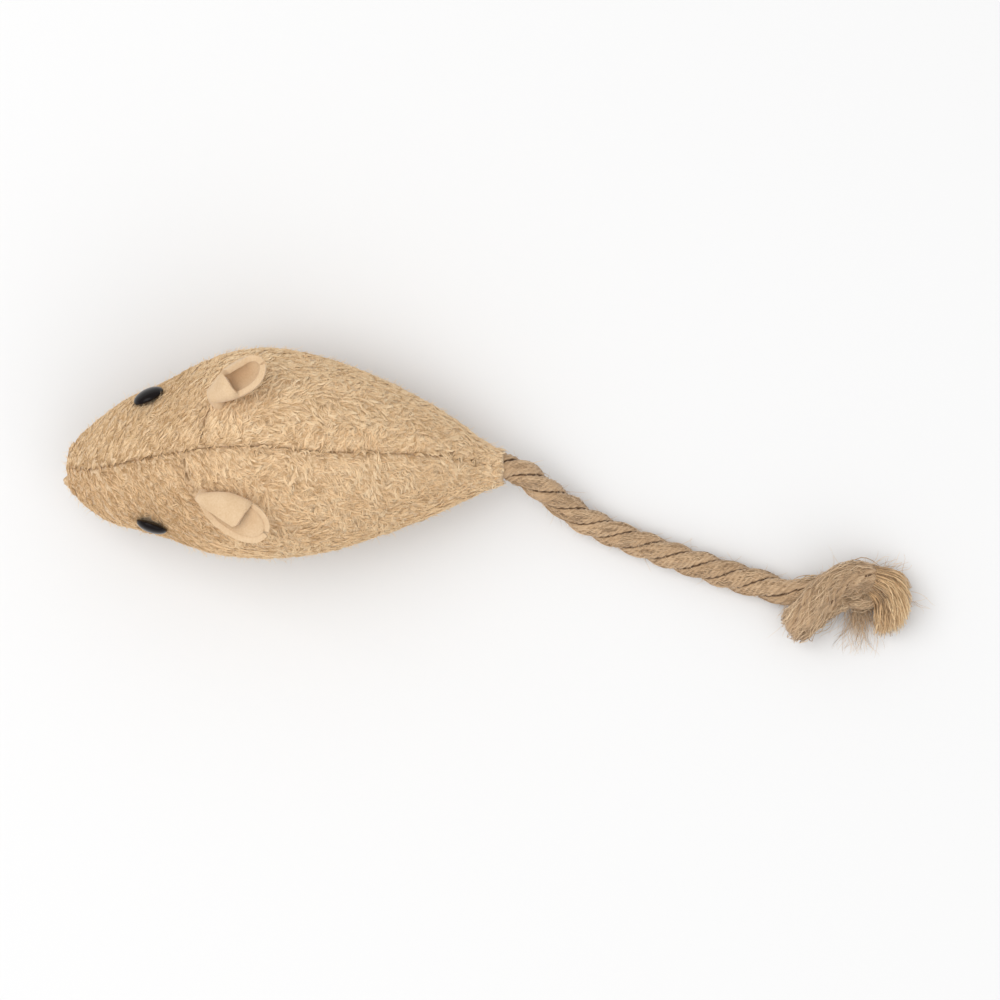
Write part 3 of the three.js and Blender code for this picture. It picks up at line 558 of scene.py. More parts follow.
# Body: three panels of tan brushed cloth, sewn along the back and down both flanks to a flat belly
# panel and stuffed hard. The shape is the frame's, as sections from nose to tail.
left_low, left_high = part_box("left_side_panel")
right_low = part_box("right_side_panel")[0]
body_length = left_high.y - left_low.y
body_width = left_high.x - right_low.x
belly_flat = 0.5 * mm
body_height = 27 * mm
body_bow = 2 * mm
seam_drift = 1.2 * mm
cloth_thickness = 1.1 * mm
nap_height = 0.35 * mm
swell_limit = 0.5 * mm
valley_depth = 0.3 * mm
valley_width = 1.15 * mm
groove_depth = 0.33 * mm
dart_groove_depth = 0.42 * mm
groove_width = 0.3 * mm
stitch_pitch = 2.3 * mm
pucker_depth = 0.09 * mm
pucker_width = 1.7 * valley_width
narrow_half = 4.5 * mm
core_height = 12 * mm
widest_height = 0.43
belly_round = 0.8
belly_seam = 0.4

# Each row holds how far along it lies, then width, top and bottom, bow and drift of the back seam
body_rows = np.array([
    (0, 0, 0.345, 0.345, 1.1, 0), (0.006, 0.21, 0.41, 0.29, 1.1, 0), (0.02, 0.3, 0.465, 0.245, 1.1, 0.1),
    (0.05, 0.415, 0.555, 0.195, 1.1, 0.15), (0.1, 0.556, 0.68, 0.14, 0.95, 0),
    (0.15, 0.645, 0.77, 0.095, 0.68, -0.1), (0.23, 0.745, 0.875, 0.04, 0.48, -0.6),
    (0.32, 0.913, 0.945, 0, 0.25, -1), (0.38, 0.974, 0.978, 0, 0.08, -0.9), (0.467, 1, 1, 0, 0, -0.75),
    (0.553, 0.955, 0.99, 0, 0.12, -0.4), (0.64, 0.865, 0.94, 0, 0.2, -0.4),
    (0.712, 0.759, 0.875, 0.015, 0.3, -0.5), (0.784, 0.637, 0.785, 0.05, 0.42, -0.6),
    (0.856, 0.502, 0.675, 0.095, 0.58, -0.7), (0.928, 0.334, 0.53, 0.14, 0.85, -0.5),
    (0.978, 0.22, 0.42, 0.17, 1, -0.2), (1, 0.19, 0.375, 0.18, 1, 0),
])


def profile(along, column):
    """A smooth curve through one column of the body's rows."""
    at, level = body_rows[:, 0], body_rows[:, column]
    before, after = np.roll(np.arange(len(at)), 1), np.roll(np.arange(len(at)), -1)
    before[0], after[-1] = 0, len(at) - 1
    slope = (level[after] - level[before]) / (at[after] - at[before])
    i = np.clip(np.searchsorted(at, along, side="left") - 1, 0, len(at) - 2)
    span = at[i + 1] - at[i]
    t = (along - at[i]) / span
    rise = t * t * (3 - 2 * t)
    lean = slope[i] * t * (1 - t) ** 2 - slope[i + 1] * t * t * (1 - t)
    return level[i] * (1 - rise) + level[i + 1] * rise + span * lean


def section(along):
    """Half width, top, bottom, widest height, centre and back seam of the body, and where it lies."""
    half = body_width / 2 * profile(along, 1)
    top = body_height * profile(along, 2)
    bottom = body_height * profile(along, 3) - belly_flat
    middle = bottom + widest_height * (top - bottom)
    centre = body_bow * profile(along, 4)
    seam = centre + seam_drift * profile(along, 5)
    return half, top, bottom, middle, centre, seam, body_length * (along - 0.5)


def on_body(along, angle):
    """A point of the stuffed body before its seams draw it in. Angle 0 is its left side."""
    half, top, bottom, middle, centre, seam, y = section(along)
    under = np.sin(angle) < 0
    power = np.where(under, belly_round, 1)
    x = centre + half * np.sign(np.cos(angle)) * np.abs(np.cos(angle)) ** power
    up = np.abs(np.sin(angle)) ** power
    z = middle + np.where(under, bottom - middle, top - middle) * up
    return np.stack([x, y + 0 * x, z], axis=-1)


belly_angle = -math.asin((1 - belly_seam) ** (1 / belly_round))


def seam_angle(along):
    half, top, bottom, middle, centre, seam, y = section(along)
    return np.arccos(np.clip((seam - centre) / np.maximum(half, 1e-6), -1, 1))


# Ears and eyes have their seats at a share of the length and of the half width there
ear_seats = {"left_ear": (0.305, 0.42, 0.274), "right_ear": (0.327, -0.53, 0.317)}
eye_seats = {"left_eye": (0.196, 0.868), "right_eye": (0.188, -0.87)}
probe = 0.001
seam_steps = 400
dart_steps = 40


def seat(along, across):
    """The point and the outward normal of the body at a seat."""
    angle = math.acos(across)
    point = on_body(along, angle)
    back = on_body(along + probe, angle) - point
    round_ = on_body(along, angle + probe) - point
    normal = unit(np.cross(back, round_))
    return point, normal * np.sign(normal[2])


seam_shares = np.linspace(0, 1, seam_steps)
back_line = on_body(seam_shares, seam_angle(seam_shares))
left_belly_line = on_body(seam_shares, np.full(seam_steps, belly_angle))
right_belly_line = on_body(seam_shares, np.full(seam_steps, math.pi - belly_angle))
dart_lines = {}
for ear, (along, across, dart) in ear_seats.items():
    t = np.linspace(0, 1, dart_steps)
    start, end = seam_angle(np.array(dart)), math.acos(across)
    dart_lines[ear] = on_body(dart + (along - dart) * t**3, start + (end - start) * t)


def tree_of(line):
    tree = KDTree(len(line))
    for i, point in enumerate(line):
        tree.insert(point, i)
    tree.balance()
    return tree


seam_lines = (back_line, left_belly_line, right_belly_line)
seam_trees = [tree_of(line) for line in seam_lines]
seam_reach = [reach_along(line) for line in seam_lines]
dart_trees = [tree_of(line) for line in dart_lines.values()]


def core_at(along):
    """The middle of the body, towards which its seams draw the cloth."""
    half, top, bottom, middle, centre, seam, y = section(along)
    return np.stack([centre, y, middle], axis=-1)


def narrowness(along):
    """1 for most of the body, and less where it is too narrow for the full depth of its seams."""
    return np.minimum(1, section(along)[0] / narrow_half)


def fading(away, width):
    """What is left of a seam's pull at a distance from it."""
    return math.exp(-((away / width) ** 2))


def drawn_in(points, along):
    """How deep the seams and darts draw the cloth in at points of the body."""
    depth = np.zeros(len(points))
    for i, point in enumerate(points):
        for tree, reach in zip(seam_trees, seam_reach):
            _, place, away = tree.find(point)
            pucker = pucker_depth * math.cos(2 * math.pi * reach[place] / stitch_pitch)
            dip = valley_depth * fading(away, valley_width) + groove_depth * fading(away, groove_width)
            depth[i] = max(depth[i], dip + pucker * fading(away, pucker_width))
        for tree in dart_trees:
            away = tree.find(point)[2]
            dip = valley_depth * fading(away, valley_width)
            depth[i] = max(depth[i], dip + dart_groove_depth * fading(away, groove_width))
    return depth * narrowness(along)


def left_angles(along, across):
    top = seam_angle(along)
    return top + (belly_angle - top) * across


def belly_angles(along, across):
    return belly_angle + (-math.pi - 2 * belly_angle) * across


def right_angles(along, across):
    top = seam_angle(along)
    return top + (math.pi - belly_angle - top) * across


eye_frames = {eye: seat(*place) for eye, place in eye_seats.items()}
ear_frames = {ear: seat(*place[:2]) for ear, place in ear_seats.items()}
panel_angles = {"left_side": left_angles, "belly": belly_angles, "right_side": right_angles}


def mesh_points(mesh):
    """The points of a mesh, as rows of x, y and z."""
    points = np.zeros(len(mesh.vertices) * 3)
    mesh.vertices.foreach_get("co", points)
    return points.reshape(-1, 3)


def move_points(mesh, points):
    mesh.vertices.foreach_set("co", points.ravel())
    mesh.update()


def take_up(made):
    """Puts a new piece in the scene and makes it the one at work."""
    bpy.context.scene.collection.objects.link(made)
    bpy.context.view_layer.objects.active = made
    made.select_set(True)


def on_whole_mesh(step, **settings):
    """One editing step on the whole mesh of the piece at work."""
    bpy.ops.object.mode_set(mode="EDIT")
    bpy.ops.mesh.select_all(action="SELECT")
    step(**settings)
    bpy.ops.object.mode_set(mode="OBJECT")


def apply_modifier(made, name, kind, **settings):
    """Puts a modifier on the piece at work, sets it and applies it."""
    added = made.modifiers.new(name, kind)
    for key, value in settings.items():
        setattr(added, key, value)
    bpy.ops.object.modifier_apply(modifier=name)


# The stuffing presses the cloth out between its seams. A coarse skin of the three panels, held at its
# seams, darts and eyes, is blown up by a cloth simulation at a scale that suits its settings.
press_rows = 84
press_columns = 22
press_scale = 20
press_frames = 20
press_force = 4
press_quality = 6
full_swell_share = 0.9
held_reach = 0.9 * mm
pressed = {name: np.zeros((press_rows, press_columns + 1, 3)) for name in panel_angles}
along, across = np.meshgrid(
    np.linspace(0.004, 1, press_rows), np.linspace(0, 1, press_columns + 1), indexing="ij"
)
left, belly, right = (on_body(along, angles(along, across)) for angles in panel_angles.values())
rings = np.concatenate([left[:, :-1], belly[:, :-1], right[:, :0:-1]], axis=1)
columns = rings.shape[1]
skin_mesh = bpy.data.meshes.new("skin")
i, j = np.meshgrid(np.arange(press_rows - 1) * columns, np.arange(columns), indexing="ij")
k = (j + 1) % columns
quads = np.stack([i + j, i + k, i + columns + k, i + columns + j], axis=-1).reshape(-1, 4).tolist()
first_ring = list(range(columns))
last_ring = list(range((press_rows - 1) * columns, press_rows * columns))
skin_mesh.from_pydata((rings * press_scale).reshape(-1, 3), [], [*quads, first_ring, last_ring])
skin = bpy.data.objects.new("skin", skin_mesh)
take_up(skin)
on_whole_mesh(bpy.ops.mesh.normals_make_consistent, inside=False)
held = np.zeros((press_rows, columns), bool)
held[:, [0, press_columns, 2 * press_columns]] = True
held[:3] = held[-2:] = True
held_points = [*dart_lines["left_ear"], *dart_lines["right_ear"]]
held_points += [point for point, normal in eye_frames.values()]
for point in held_points:
    held |= np.linalg.norm(rings - point, axis=-1) < held_reach
skin.vertex_groups.new(name="held").add(np.flatnonzero(held).tolist(), 1, "REPLACE")
stuffed = skin.modifiers.new("stuffed", "CLOTH")
stuffed.settings.quality = press_quality
stuffed.settings.use_pressure = True
stuffed.settings.uniform_pressure_force = press_force
stuffed.settings.effector_weights.gravity = 0
stuffed.settings.vertex_group_mass = "held"
stuffed.collision_settings.use_collision = False
stuffed.point_cache.frame_end = press_frames
for number in range(1, press_frames + 1):
    bpy.context.scene.frame_set(number)
bpy.ops.object.modifier_apply(modifier="stuffed")
moved = mesh_points(skin.data).reshape(rings.shape) / press_scale - rings
bpy.data.objects.remove(skin)
bpy.context.scene.frame_set(1)
reach = np.linalg.norm(moved, axis=-1, keepdims=True)
moved *= swell_limit / np.quantile(reach, full_swell_share)
reach = np.linalg.norm(moved, axis=-1, keepdims=True)
moved *= np.minimum(1, swell_limit / np.maximum(reach, 1e-9))
moved = np.concatenate([moved, moved[:, :1]], axis=1)
pressed["left_side"] = moved[:, : press_columns + 1]
pressed["belly"] = moved[:, press_columns : 2 * press_columns + 1]
pressed["right_side"] = moved[:, 2 * press_columns :][:, ::-1]


def pressed_at(name, along, across):
    """How far the stuffing presses a panel out at places along and across it."""
    table = pressed[name]
    u, v = np.clip(along, 0, 1) * (press_rows - 1), np.clip(across, 0, 1) * press_columns
    i, j = np.minimum(u.astype(int), press_rows - 2), np.minimum(v.astype(int), press_columns - 1)
    s, t = (u - i)[..., None], (v - j)[..., None]
    near = table[i, j] * (1 - t) + table[i, j + 1] * t
    far = table[i + 1, j] * (1 - t) + table[i + 1, j + 1] * t
    return near * (1 - s) + far * s


def skin_points(name, along, across):
    """Points of a panel's finished cloth: drawn in at its seams, pressed out between them."""
    points = on_body(along, panel_angles[name](along, across))
    core = core_at(along)
    narrow = narrowness(along)
    depth = drawn_in(points, along) + narrow * (nap_height + swell_limit)
    reach = np.linalg.norm(points - core, axis=-1)
    points += (core - points) * np.minimum(depth / np.maximum(reach, 1e-6), 0.5)[:, None]
    points += narrow[:, None] * pressed_at(name, along, across)
    points[:, 2] = np.maximum(points[:, 2], rest_height)
    return points


panel_rows = 190
panel_columns = 72
# rows lie closer together towards the nose, and columns towards both seams
nose_crowding = 1.6
seam_crowding = 0.1


def panel(name):
    """The cloth of one panel, from a grid laid over the body between its two seams."""
    bpy.ops.mesh.primitive_grid_add(x_subdivisions=panel_columns, y_subdivisions=panel_rows, size=1)
    made = bpy.context.object
    made.name = name + "_cloth"
    flat = np.clip(mesh_points(made.data) + 0.5, 0, 1)
    along = flat[:, 1] ** nose_crowding
    across = flat[:, 0] - seam_crowding * np.sin(2 * math.pi * flat[:, 0])
    move_points(made.data, skin_points(name, along, across))
    return made


# the nap's hairs get painted shade at their roots and painted light at their tips
cloth_tan = fibre_material(
    "nap", dark=shade(196, 160, 118), middle=shade(240, 209, 168), light=shade(252, 230, 196),
    grain_width=0.00014, bump=0.1, sheen=0.0, root=-0.4, tip=0.2, shine=0.04,
)


def fine_noise(node, scale, detail):
    """Noise laid over a whole piece."""
    place = node("ShaderNodeTexCoord")
    made = node("ShaderNodeTexNoise", {"Vector": place.outputs["Object"]}, Scale=scale, Detail=detail)
    return made.outputs["Fac"]


def two_shades(node, value, low, high, spread=(0, 1)):
    """A colour that goes from one shade to another as a value crosses its spread."""
    ramp = node("ShaderNodeValToRGB", {"Fac": value})
    for stop, position, colour in zip(ramp.color_ramp.elements, spread, (low, high)):
        stop.position, stop.color = position, colour
    return ramp.outputs["Color"]


cloth_ground, node, into = new_material("cloth_ground", Roughness=0.95, Sheen_Weight=0.2)
weave = fine_noise(node, 2600.0, 3.0)
into("Base Color", two_shades(node, weave, shade(180, 147, 108), shade(226, 197, 160), (0.3, 0.7)))
dented(node, into, weave, strength=0.8, depth=0.2 * mm)


def even_places(name, count):
    """Places spread evenly over a panel, as shares along and across it."""
    cells = 120
    share = (np.arange(cells) + 0.5) / cells
    along_share = share**nose_crowding
    along, across = np.meshgrid(along_share, share, indexing="ij")
    points = on_body(along, panel_angles[name](along, across))
    spans = np.cross(np.gradient(points, axis=0), np.gradient(points, axis=1))
    area = np.linalg.norm(spans, axis=-1)
    rows = np.cumsum(area.sum(axis=1))
    columns = np.cumsum(area, axis=1)
    # two steps that never fall into a pattern with each other
    golden = 1.32471795724
    u = (0.5 + np.arange(count) / golden) % 1
    v = (0.5 + np.arange(count) / golden**2) % 1
    along = np.interp(u, rows / rows[-1], along_share)
    i = np.clip(np.searchsorted(along_share, along), 0, cells - 1)
    across = np.array([np.interp(b, columns[k] / columns[k, -1], share) for b, k in zip(v, i)])
    return along, across


hairs_in_lock = 5
# bare sizes of locks and hairs are in millimetres, and pairs are ranges
lock_lengths = (1.2, 2.0)
lock_rises = (0.12, 0.26)
lock_halves = (0.06, 0.095)
lock_spread = 0.1
lock_shift = 0.35
lock_root = 0.08 * mm
hair_lengths = (0.7, 1.5)
hair_root = 0.1 * mm
hair_half = 0.02 * mm
nap_grain = 0.7 * mm
seam_clearance = 0.17 * mm
dart_clearances = (0.62 * mm, 0.42 * mm)
eye_clearance = 1.75 * mm
ear_clearance = 1.2 * mm
swirl_size = 4.5 * mm
ripple_size = 1.6 * mm
seam_comb_width = 1.8 * mm


def nap(name, count, seed, body_side):
    """The brushed face of a panel: locks of a few fine hairs, curled, that lie along the comb of the
    cloth. It is combed back and away from the seam on the head, and curls every way on the body."""
    random = np.random.default_rng(seed)
    along, across = even_places(name, count)
    along = np.clip(along + random.normal(0, 0.003, count), 0.0006, 0.999)
    across = np.clip(across + random.normal(0, 0.006, count), 0.002, 0.998)
    rim = on_body(along, panel_angles[name](along, across))
    clear = np.ones(count, bool)
    clearances = [seam_clearance] * len(seam_trees) + list(dart_clearances)
    for tree, clearance in zip([*seam_trees, *dart_trees], clearances):
        clear &= np.array([tree.find(point)[2] for point in rim]) > clearance
    for frames, clearance in [(eye_frames, eye_clearance), (ear_frames, ear_clearance)]:
        for point, normal in frames.values():
            clear &= np.linalg.norm(rim - point, axis=1) > clearance
    along, across, rim = along[clear], across[clear], rim[clear]
    count = len(rim)
    angle = panel_angles[name](along, across)
    root = skin_points(name, along, across)
    back = unit(on_body(np.minimum(along + probe, 1), angle) - on_body(np.maximum(along - probe, 0), angle))
    down = unit(on_body(along, angle + probe * body_side) - rim)
    normal = unit(np.cross(back, down))
    normal *= np.sign(np.sum(normal * (rim - core_at(along)), axis=1))[:, None]

    swirl = np.array([noise.noise(Vector(p) / swirl_size + Vector((seed, 0, 0))) for p in rim])
    ripple = np.array([noise.noise(Vector(p) / ripple_size + Vector((0, seed, 0))) for p in rim])
    head = np.clip((0.38 - along) / 0.12, 0, 1)
    rear = np.clip((along - 0.82) / 0.15, 0, 1)
    comb = head * 0.85 + (1 - head) * (0.55 + 1.9 * swirl) * (1 - 0.8 * rear)
    comb = comb + (0.9 - 0.4 * head) * ripple * (1 - 0.6 * rear) + random.normal(0, 0.2, count)
    # next to the back seam nothing is combed across it
    by_seam = np.exp(-((np.array([seam_trees[0].find(p)[2] for p in rim]) / seam_comb_width) ** 2))
    comb = comb + by_seam * (np.clip(comb, 0.15, 1.5) - comb)
    way = back * np.cos(comb)[:, None] + down * np.sin(comb)[:, None]
    side = np.cross(normal, way)
    size = mm * random.uniform(*lock_lengths, count) * np.minimum(1, 0.4 + 6 * along) * (1 - 0.3 * rear)
    curl = random.normal(0, 0.36, count)
    rise = mm * random.uniform(*lock_rises, count)
    tones = 0.56 + 0.14 * swirl + random.normal(0, 0.13, count) - 0.3 * head + 0.13 * rear

    t = np.linspace(0, 1, 5)
    for zone, part in enumerate(np.array_split(np.argsort(along), 2)):
        many = len(part) * hairs_in_lock
        pick = np.repeat(part, hairs_in_lock)
        hair_size = (size[pick] * random.uniform(0.75, 1.15, many))[:, None, None]
        apart = (mm * random.normal(0, lock_spread, many))[:, None, None] * (1 - 0.85 * t[None, :, None])
        ahead = (mm * random.uniform(-lock_shift, lock_shift, many))[:, None, None]
        bend = (curl[pick] + random.normal(0, 0.05, many))[:, None, None]
        lift = (rise[pick] * random.uniform(0.7, 1.15, many))[:, None, None]
        steps = t[None, :, None]
        lines = root[pick][:, None] - normal[pick][:, None] * lock_root
        lines = lines + way[pick][:, None] * (ahead + hair_size * (steps - 0.3))
        lines = lines + side[pick][:, None] * (apart + bend * hair_size * np.sin(math.pi * steps))
        lines = lines + normal[pick][:, None] * lift * np.sin(math.pi * (0.05 + 0.83 * steps))
        half = mm * random.uniform(*lock_halves, many)[:, None] * np.array([1, 1, 0.95, 0.75, 0.4])
        ups = normal[pick][:, None]
        hair_tones = np.clip(tones[pick] + random.normal(0, 0.06, many), 0, 1)
        made = solid_tubes(
            f"{name}_nap_{zone}", lines, ups, half, hair_tones, cloth_tan, nap_grain, pointed=True
        )
        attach(made, "root")

    # fine hairs that stand out of the nap
    pick = random.integers(0, count, count // 2)
    many = len(pick)
    t = np.linspace(0, 1, 5)[None, :, None]
    hair = mm * random.uniform(*hair_lengths, many)[:, None, None]
    lean = way[pick] * random.uniform(0.2, 1, many)[:, None]
    lean = lean + side[pick] * random.normal(0, 0.6, many)[:, None]
    lines = root[pick][:, None] + normal[pick][:, None] * (hair_root + t * hair * 0.5)
    lines = lines + unit(lean)[:, None] * np.sin(1.4 * t) * hair * 0.7
    lines = lines + random.normal(0, 0.2, (many, 1, 3)) * t**2 * hair
    half = np.full((many, 5), hair_half)
    ups = side[pick][:, None]
    hair_tones = random.uniform(0.5, 1, many)
    hairs = solid_tubes(
        f"{name}_hairs", lines, ups, half, hair_tones, cloth_tan, nap_grain, pointed=True
    )
    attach(hairs, "root")


for name, count, seed, body_side in [
    ("left_side", 3200, 31, -1), ("right_side", 3200, 32, 1), ("belly", 1500, 33, -1)
]:
    cloth = panel(name)
    on_whole_mesh(bpy.ops.mesh.remove_doubles, threshold=0.01 * mm)
    on_whole_mesh(bpy.ops.mesh.normals_make_consistent, inside=False)
    # the cloth's outer face looks away from the body's core
    facing = 0
    for face in cloth.data.polygons:
        facing += face.normal.dot(Vector((face.center.x, 0, face.center.z - core_height))) * face.area
    if facing < 0:
        on_whole_mesh(bpy.ops.mesh.flip_normals)
    apply_modifier(cloth, "thickness", "SOLIDIFY", thickness=cloth_thickness, offset=-1)
    bpy.ops.object.shade_smooth()
    finish_with(cloth, cloth_ground)
    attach(cloth, "root")
    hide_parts(name + "_panel")
    bpy.ops.object.select_all(action="DESELECT")
    nap(name, count, seed, body_side)


# Belly tip: the end of the belly panel, of the same tan cloth. The seams meet at the nose, and leave
# it standing out there as a small nub.
nub_size = Vector((0.8, 0.85, 0.7)) * mm
nub_place = Vector((4.0, -30.75, 8.2)) * mm
bpy.ops.mesh.primitive_uv_sphere_add(segments=24, ring_count=16, radius=1)
nub = bpy.context.object
nub.name = "belly_tip"
for vertex in nub.data.vertices:
    wrinkle = 1 + 0.16 * noise.noise(vertex.co * 2.3)
    vertex.co = Vector(a * b for a, b in zip(vertex.co * wrinkle, nub_size)) + nub_place
bpy.ops.object.shade_smooth()
finish_with(nub, cloth_ground)
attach(nub, "root")
bpy.ops.object.select_all(action="DESELECT")


# Eyes: domed dots of polished near-black plastic, each in one piece with its shank. The shank goes
# through the cloth, and a washer inside the body holds it.
eye_diameter = 4.6 * mm
eye_dome = 1.1 * mm
eye_back = 0.45 * mm
eye_sunk = 0.3 * mm
# the nap above an eye leans it outwards
eye_tilts = {"left_eye": 0.42, "right_eye": 0.2}
eye_plastic, node, into = new_material("eye_plastic", Roughness=0.1, Specular_IOR_Level=0.14)
mottle = fine_noise(node, 700.0, 2.0)
into("Base Color", two_shades(node, mottle, shade(10, 5, 5), shade(20, 12, 12)))
scuffs = node("ShaderNodeMapRange", {"Value": mottle}, To_Min=0.1, To_Max=0.2)
into("Roughness", scuffs.outputs[0])

for eye, (point, normal) in eye_frames.items():
    bpy.ops.mesh.primitive_uv_sphere_add(segments=48, ring_count=24, radius=1)
    dot = bpy.context.object
    dot.name = eye + "_dot"
    faced = unit(normal - np.array([0, 0, eye_tilts[eye]]))
    turn = Vector(faced).to_track_quat("Z", "Y").to_matrix()
    points = mesh_points(dot.data)
    points[:, :2] *= eye_diameter / 2
    points[:, 2] *= np.where(points[:, 2] > 0, eye_dome, eye_back)
    move_points(dot.data, points @ np.array(turn).T + point - normal * eye_sunk)
    bpy.ops.object.shade_smooth()
    finish_with(dot, eye_plastic)
    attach(dot, "root")
    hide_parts(eye)
    bpy.ops.object.select_all(action="DESELECT")


# Ears: leaves of thin peach felt, folded lengthwise and sewn into the darts by their feet.
# The right one is rolled to a cup, and the left one is folded over with its opening outwards.
felt, node, into = new_material("felt", Roughness=0.9, Sheen_Weight=0.25, Sheen_Roughness=0.4)
clouds_and_hairs = half_sum(node, fine_noise(node, 420.0, 4.0), fine_noise(node, 3800.0, 2.0))
face = two_shades(node, clouds_and_hairs, shade(201, 169, 131), shade(218, 190, 155), (0.3, 0.7))
# painted shade: a dark brown mixed into the felt at the bottom of the right ear's cup
hollow_shade = node("ShaderNodeAttribute", attribute_name="hollow_shade").outputs["Fac"]
deep = node("ShaderNodeMixRGB", {"Fac": hollow_shade, "Color1": face}, Color2=shade(164, 124, 84))
into("Base Color", deep.outputs["Color"])
dented(node, into, clouds_and_hairs, strength=0.5, depth=0.2 * mm)

felt_thickness = 0.85 * mm
felt_edge = 0.2 * mm
# An ear's bare sizes are in millimetres and its angles in degrees
ear_foot = 3.2
ear_height = 0.9
ear_sink = 0.6
ear_stations = [0, 0.1, 0.2, 0.35, 0.5, 0.62, 1]
# Across an ear the felt follows an oval from its bottom up both sides: at a reach of 0.5 it ends in a
# rim at the oval's widest, at 1 it meets on top, and past 1 it folds over onto the other side
ear_plans = {
    "left_ear": dict(
        heading=27, rise=13, length=11.1, roll=24, curl=0.4, low=0.8, high=0.95,
        ahead=0.3, aside=-0.45, hollow_shade=0,
        half=[0.4, 1.0, 1.6, 2.2, 2.45, 2.5, 2.5],
        out_side=[(0, 0.5), (1, 0.5)],
        seam_side=[(0, 1.14), (0.6, 1.18), (0.64, 1.1), (0.675, 0.6), (1, 0.5)],
    ),
    "right_ear": dict(
        heading=-26, rise=15, length=8.9, roll=14, curl=0.9, low=1.6, high=1.15,
        ahead=1.3, aside=0, hollow_shade=0.55,
        half=[1.0, 1.35, 1.65, 1.95, 2.1, 2.1, 2.1],
        out_side=[(0, 0.5), (0.3, 0.52), (0.42, 0.76), (0.7, 0.76), (0.88, 0.6), (1, 0.5)],
        seam_side=[(0, 1.2), (0.33, 1.22), (0.38, 1.1), (0.44, 0.52), (1, 0.46)],
    ),
}
ear_rows = 60
ear_columns = 44
tip_start = 0.6
foot_flat = 0.4
for ear, plan in ear_plans.items():
    point, normal = ear_frames[ear]
    heading, rise = math.radians(plan["heading"]), math.radians(plan["rise"])
    out = unit(np.array([math.sin(heading), math.cos(heading), math.tan(rise)]))
    hinge_side = unit(np.cross(out, normal))
    # the side away from the back seam
    across = hinge_side * (1 if ear == "left_ear" else -1)
    hinge = point + (normal * ear_height + out * plan["ahead"] + across * plan["aside"]) * mm
    bpy.ops.mesh.primitive_grid_add(x_subdivisions=ear_columns, y_subdivisions=ear_rows, size=1)
    leaf = bpy.context.object
    leaf.name = ear + "_felt"
    flat = mesh_points(leaf.data)
    foot_share = ear_foot / plan["length"]
    along = (flat[:, 1] + 0.5) * (1 + foot_share) - foot_share
    side = flat[:, 0] * 2
    held = np.clip(along, 0, 1)
    tip = np.clip((held - tip_start) / (1 - tip_start), 0, 1)
    half = np.interp(held, ear_stations, plan["half"]) * np.sqrt(1 - 0.995 * tip**2.2)
    closing = np.sqrt(1 - 0.97 * tip**2)
    # the fold lies flat where the dart grips it
    grown = np.interp(along, [0, 0.3], [foot_flat, 1]) * closing
    low, high = plan["low"] * grown, plan["high"] * np.maximum(grown, foot_flat)
    reach = np.where(side > 0, *(np.interp(held, *zip(*plan[key])) for key in ("out_side", "seam_side")))
    bend = np.abs(side) * math.pi * reach
    x = np.sign(side) * half * np.sin(bend)
    z = np.where(bend < math.pi / 2, low * (1 - np.cos(bend)), low - high * np.cos(bend))
    z = z + plan["low"] * (1 - closing)
    roll = math.radians(plan["roll"]) * np.clip(held / 0.3, 0, 1)
    x, z = x * np.cos(roll) - z * np.sin(roll), x * np.sin(roll) + z * np.cos(roll)
    turn = np.clip(0.5 + along / 0.16, 0, 1)
    turn = turn * turn * (3 - 2 * turn)
    way = unit(normal * (1 - turn)[:, None] + out * turn[:, None])
    open_ = np.cross(hinge_side, way)
    past = np.maximum(along, 0) * plan["length"] * mm
    sewn_in = np.maximum(-along, 0) * plan["length"] * mm
    line = hinge + out * past[:, None] - normal * sewn_in[:, None]
    lift = plan["curl"] * held**3
    points = line + across * (x * mm)[:, None] + open_ * ((z - ear_sink + lift) * mm)[:, None]
    move_points(leaf.data, points)
    # painted shade: the felt is darkened at the bottom of a deep cup, where shade falls
    deep = plan["hollow_shade"] * np.exp(-(((side - 0.28) / 0.34) ** 2))
    deep = deep * np.interp(held, [0.2, 0.4, 0.7, 0.9], [0, 1, 0.8, 0])
    keep_on_points(leaf.data, "hollow_shade", deep)
    apply_modifier(leaf, "thickness", "SOLIDIFY", thickness=felt_thickness, offset=0)
    on_whole_mesh(bpy.ops.mesh.normals_make_consistent, inside=False)
    apply_modifier(
        leaf, "edge", "BEVEL", width=felt_edge, segments=3,
        limit_method="ANGLE", angle_limit=math.radians(50),
    )
    bpy.ops.object.shade_smooth()
    finish_with(leaf, felt)
    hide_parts(ear, ear + "_foot")
    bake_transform(leaf)
    bpy.ops.object.select_all(action="DESELECT")


# Stitches: tan sewing thread that closes the back, the belly and both darts. It lies in short stitches
# at the bottom of the valleys that it pulls into the cloth.
thread = fibre_material(
    "thread", dark=shade(120, 94, 64), middle=shade(160, 130, 94), light=shade(190, 160, 124),
    grain_width=0.00008,
)
thread_radius = 0.16 * mm
thread_grain = 2 * mm
thread_tone = 0.5
stitch_start_share = 0.2
stitch_share = 0.72
stitch_depth = 1.45 * mm
stitch_dip = 0.35 * mm
stitch_core = np.array([0.8, 0, 11]) * mm
stitch_rows = 7


def stitches(name, line, node_name):
    """A row of short stitches laid along a seam, each dipping into the cloth at both ends."""
    reach = reach_along(line)
    count = max(1, int(reach[-1] / stitch_pitch))
    starts = (np.arange(count) + stitch_start_share) * stitch_pitch
    t = np.linspace(0, 1, stitch_rows)
    at = starts[:, None] + t[None] * stitch_pitch * stitch_share
    lines = np.stack([np.interp(at, reach, line[:, i]) for i in range(3)], axis=-1)
    inward = stitch_core - lines
    inward[..., 1] = 0
    inward = unit(inward)
    lines = lines + inward * (stitch_depth + stitch_dip * (2 * t - 1)[None, :, None] ** 4)
    half = np.full((count, stitch_rows, 6), thread_radius)
    tones = np.full(count, thread_tone)
    made = solid_tubes(name, lines, -inward, half, tones, thread, thread_grain)
    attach(made, "root")
    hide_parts(node_name)


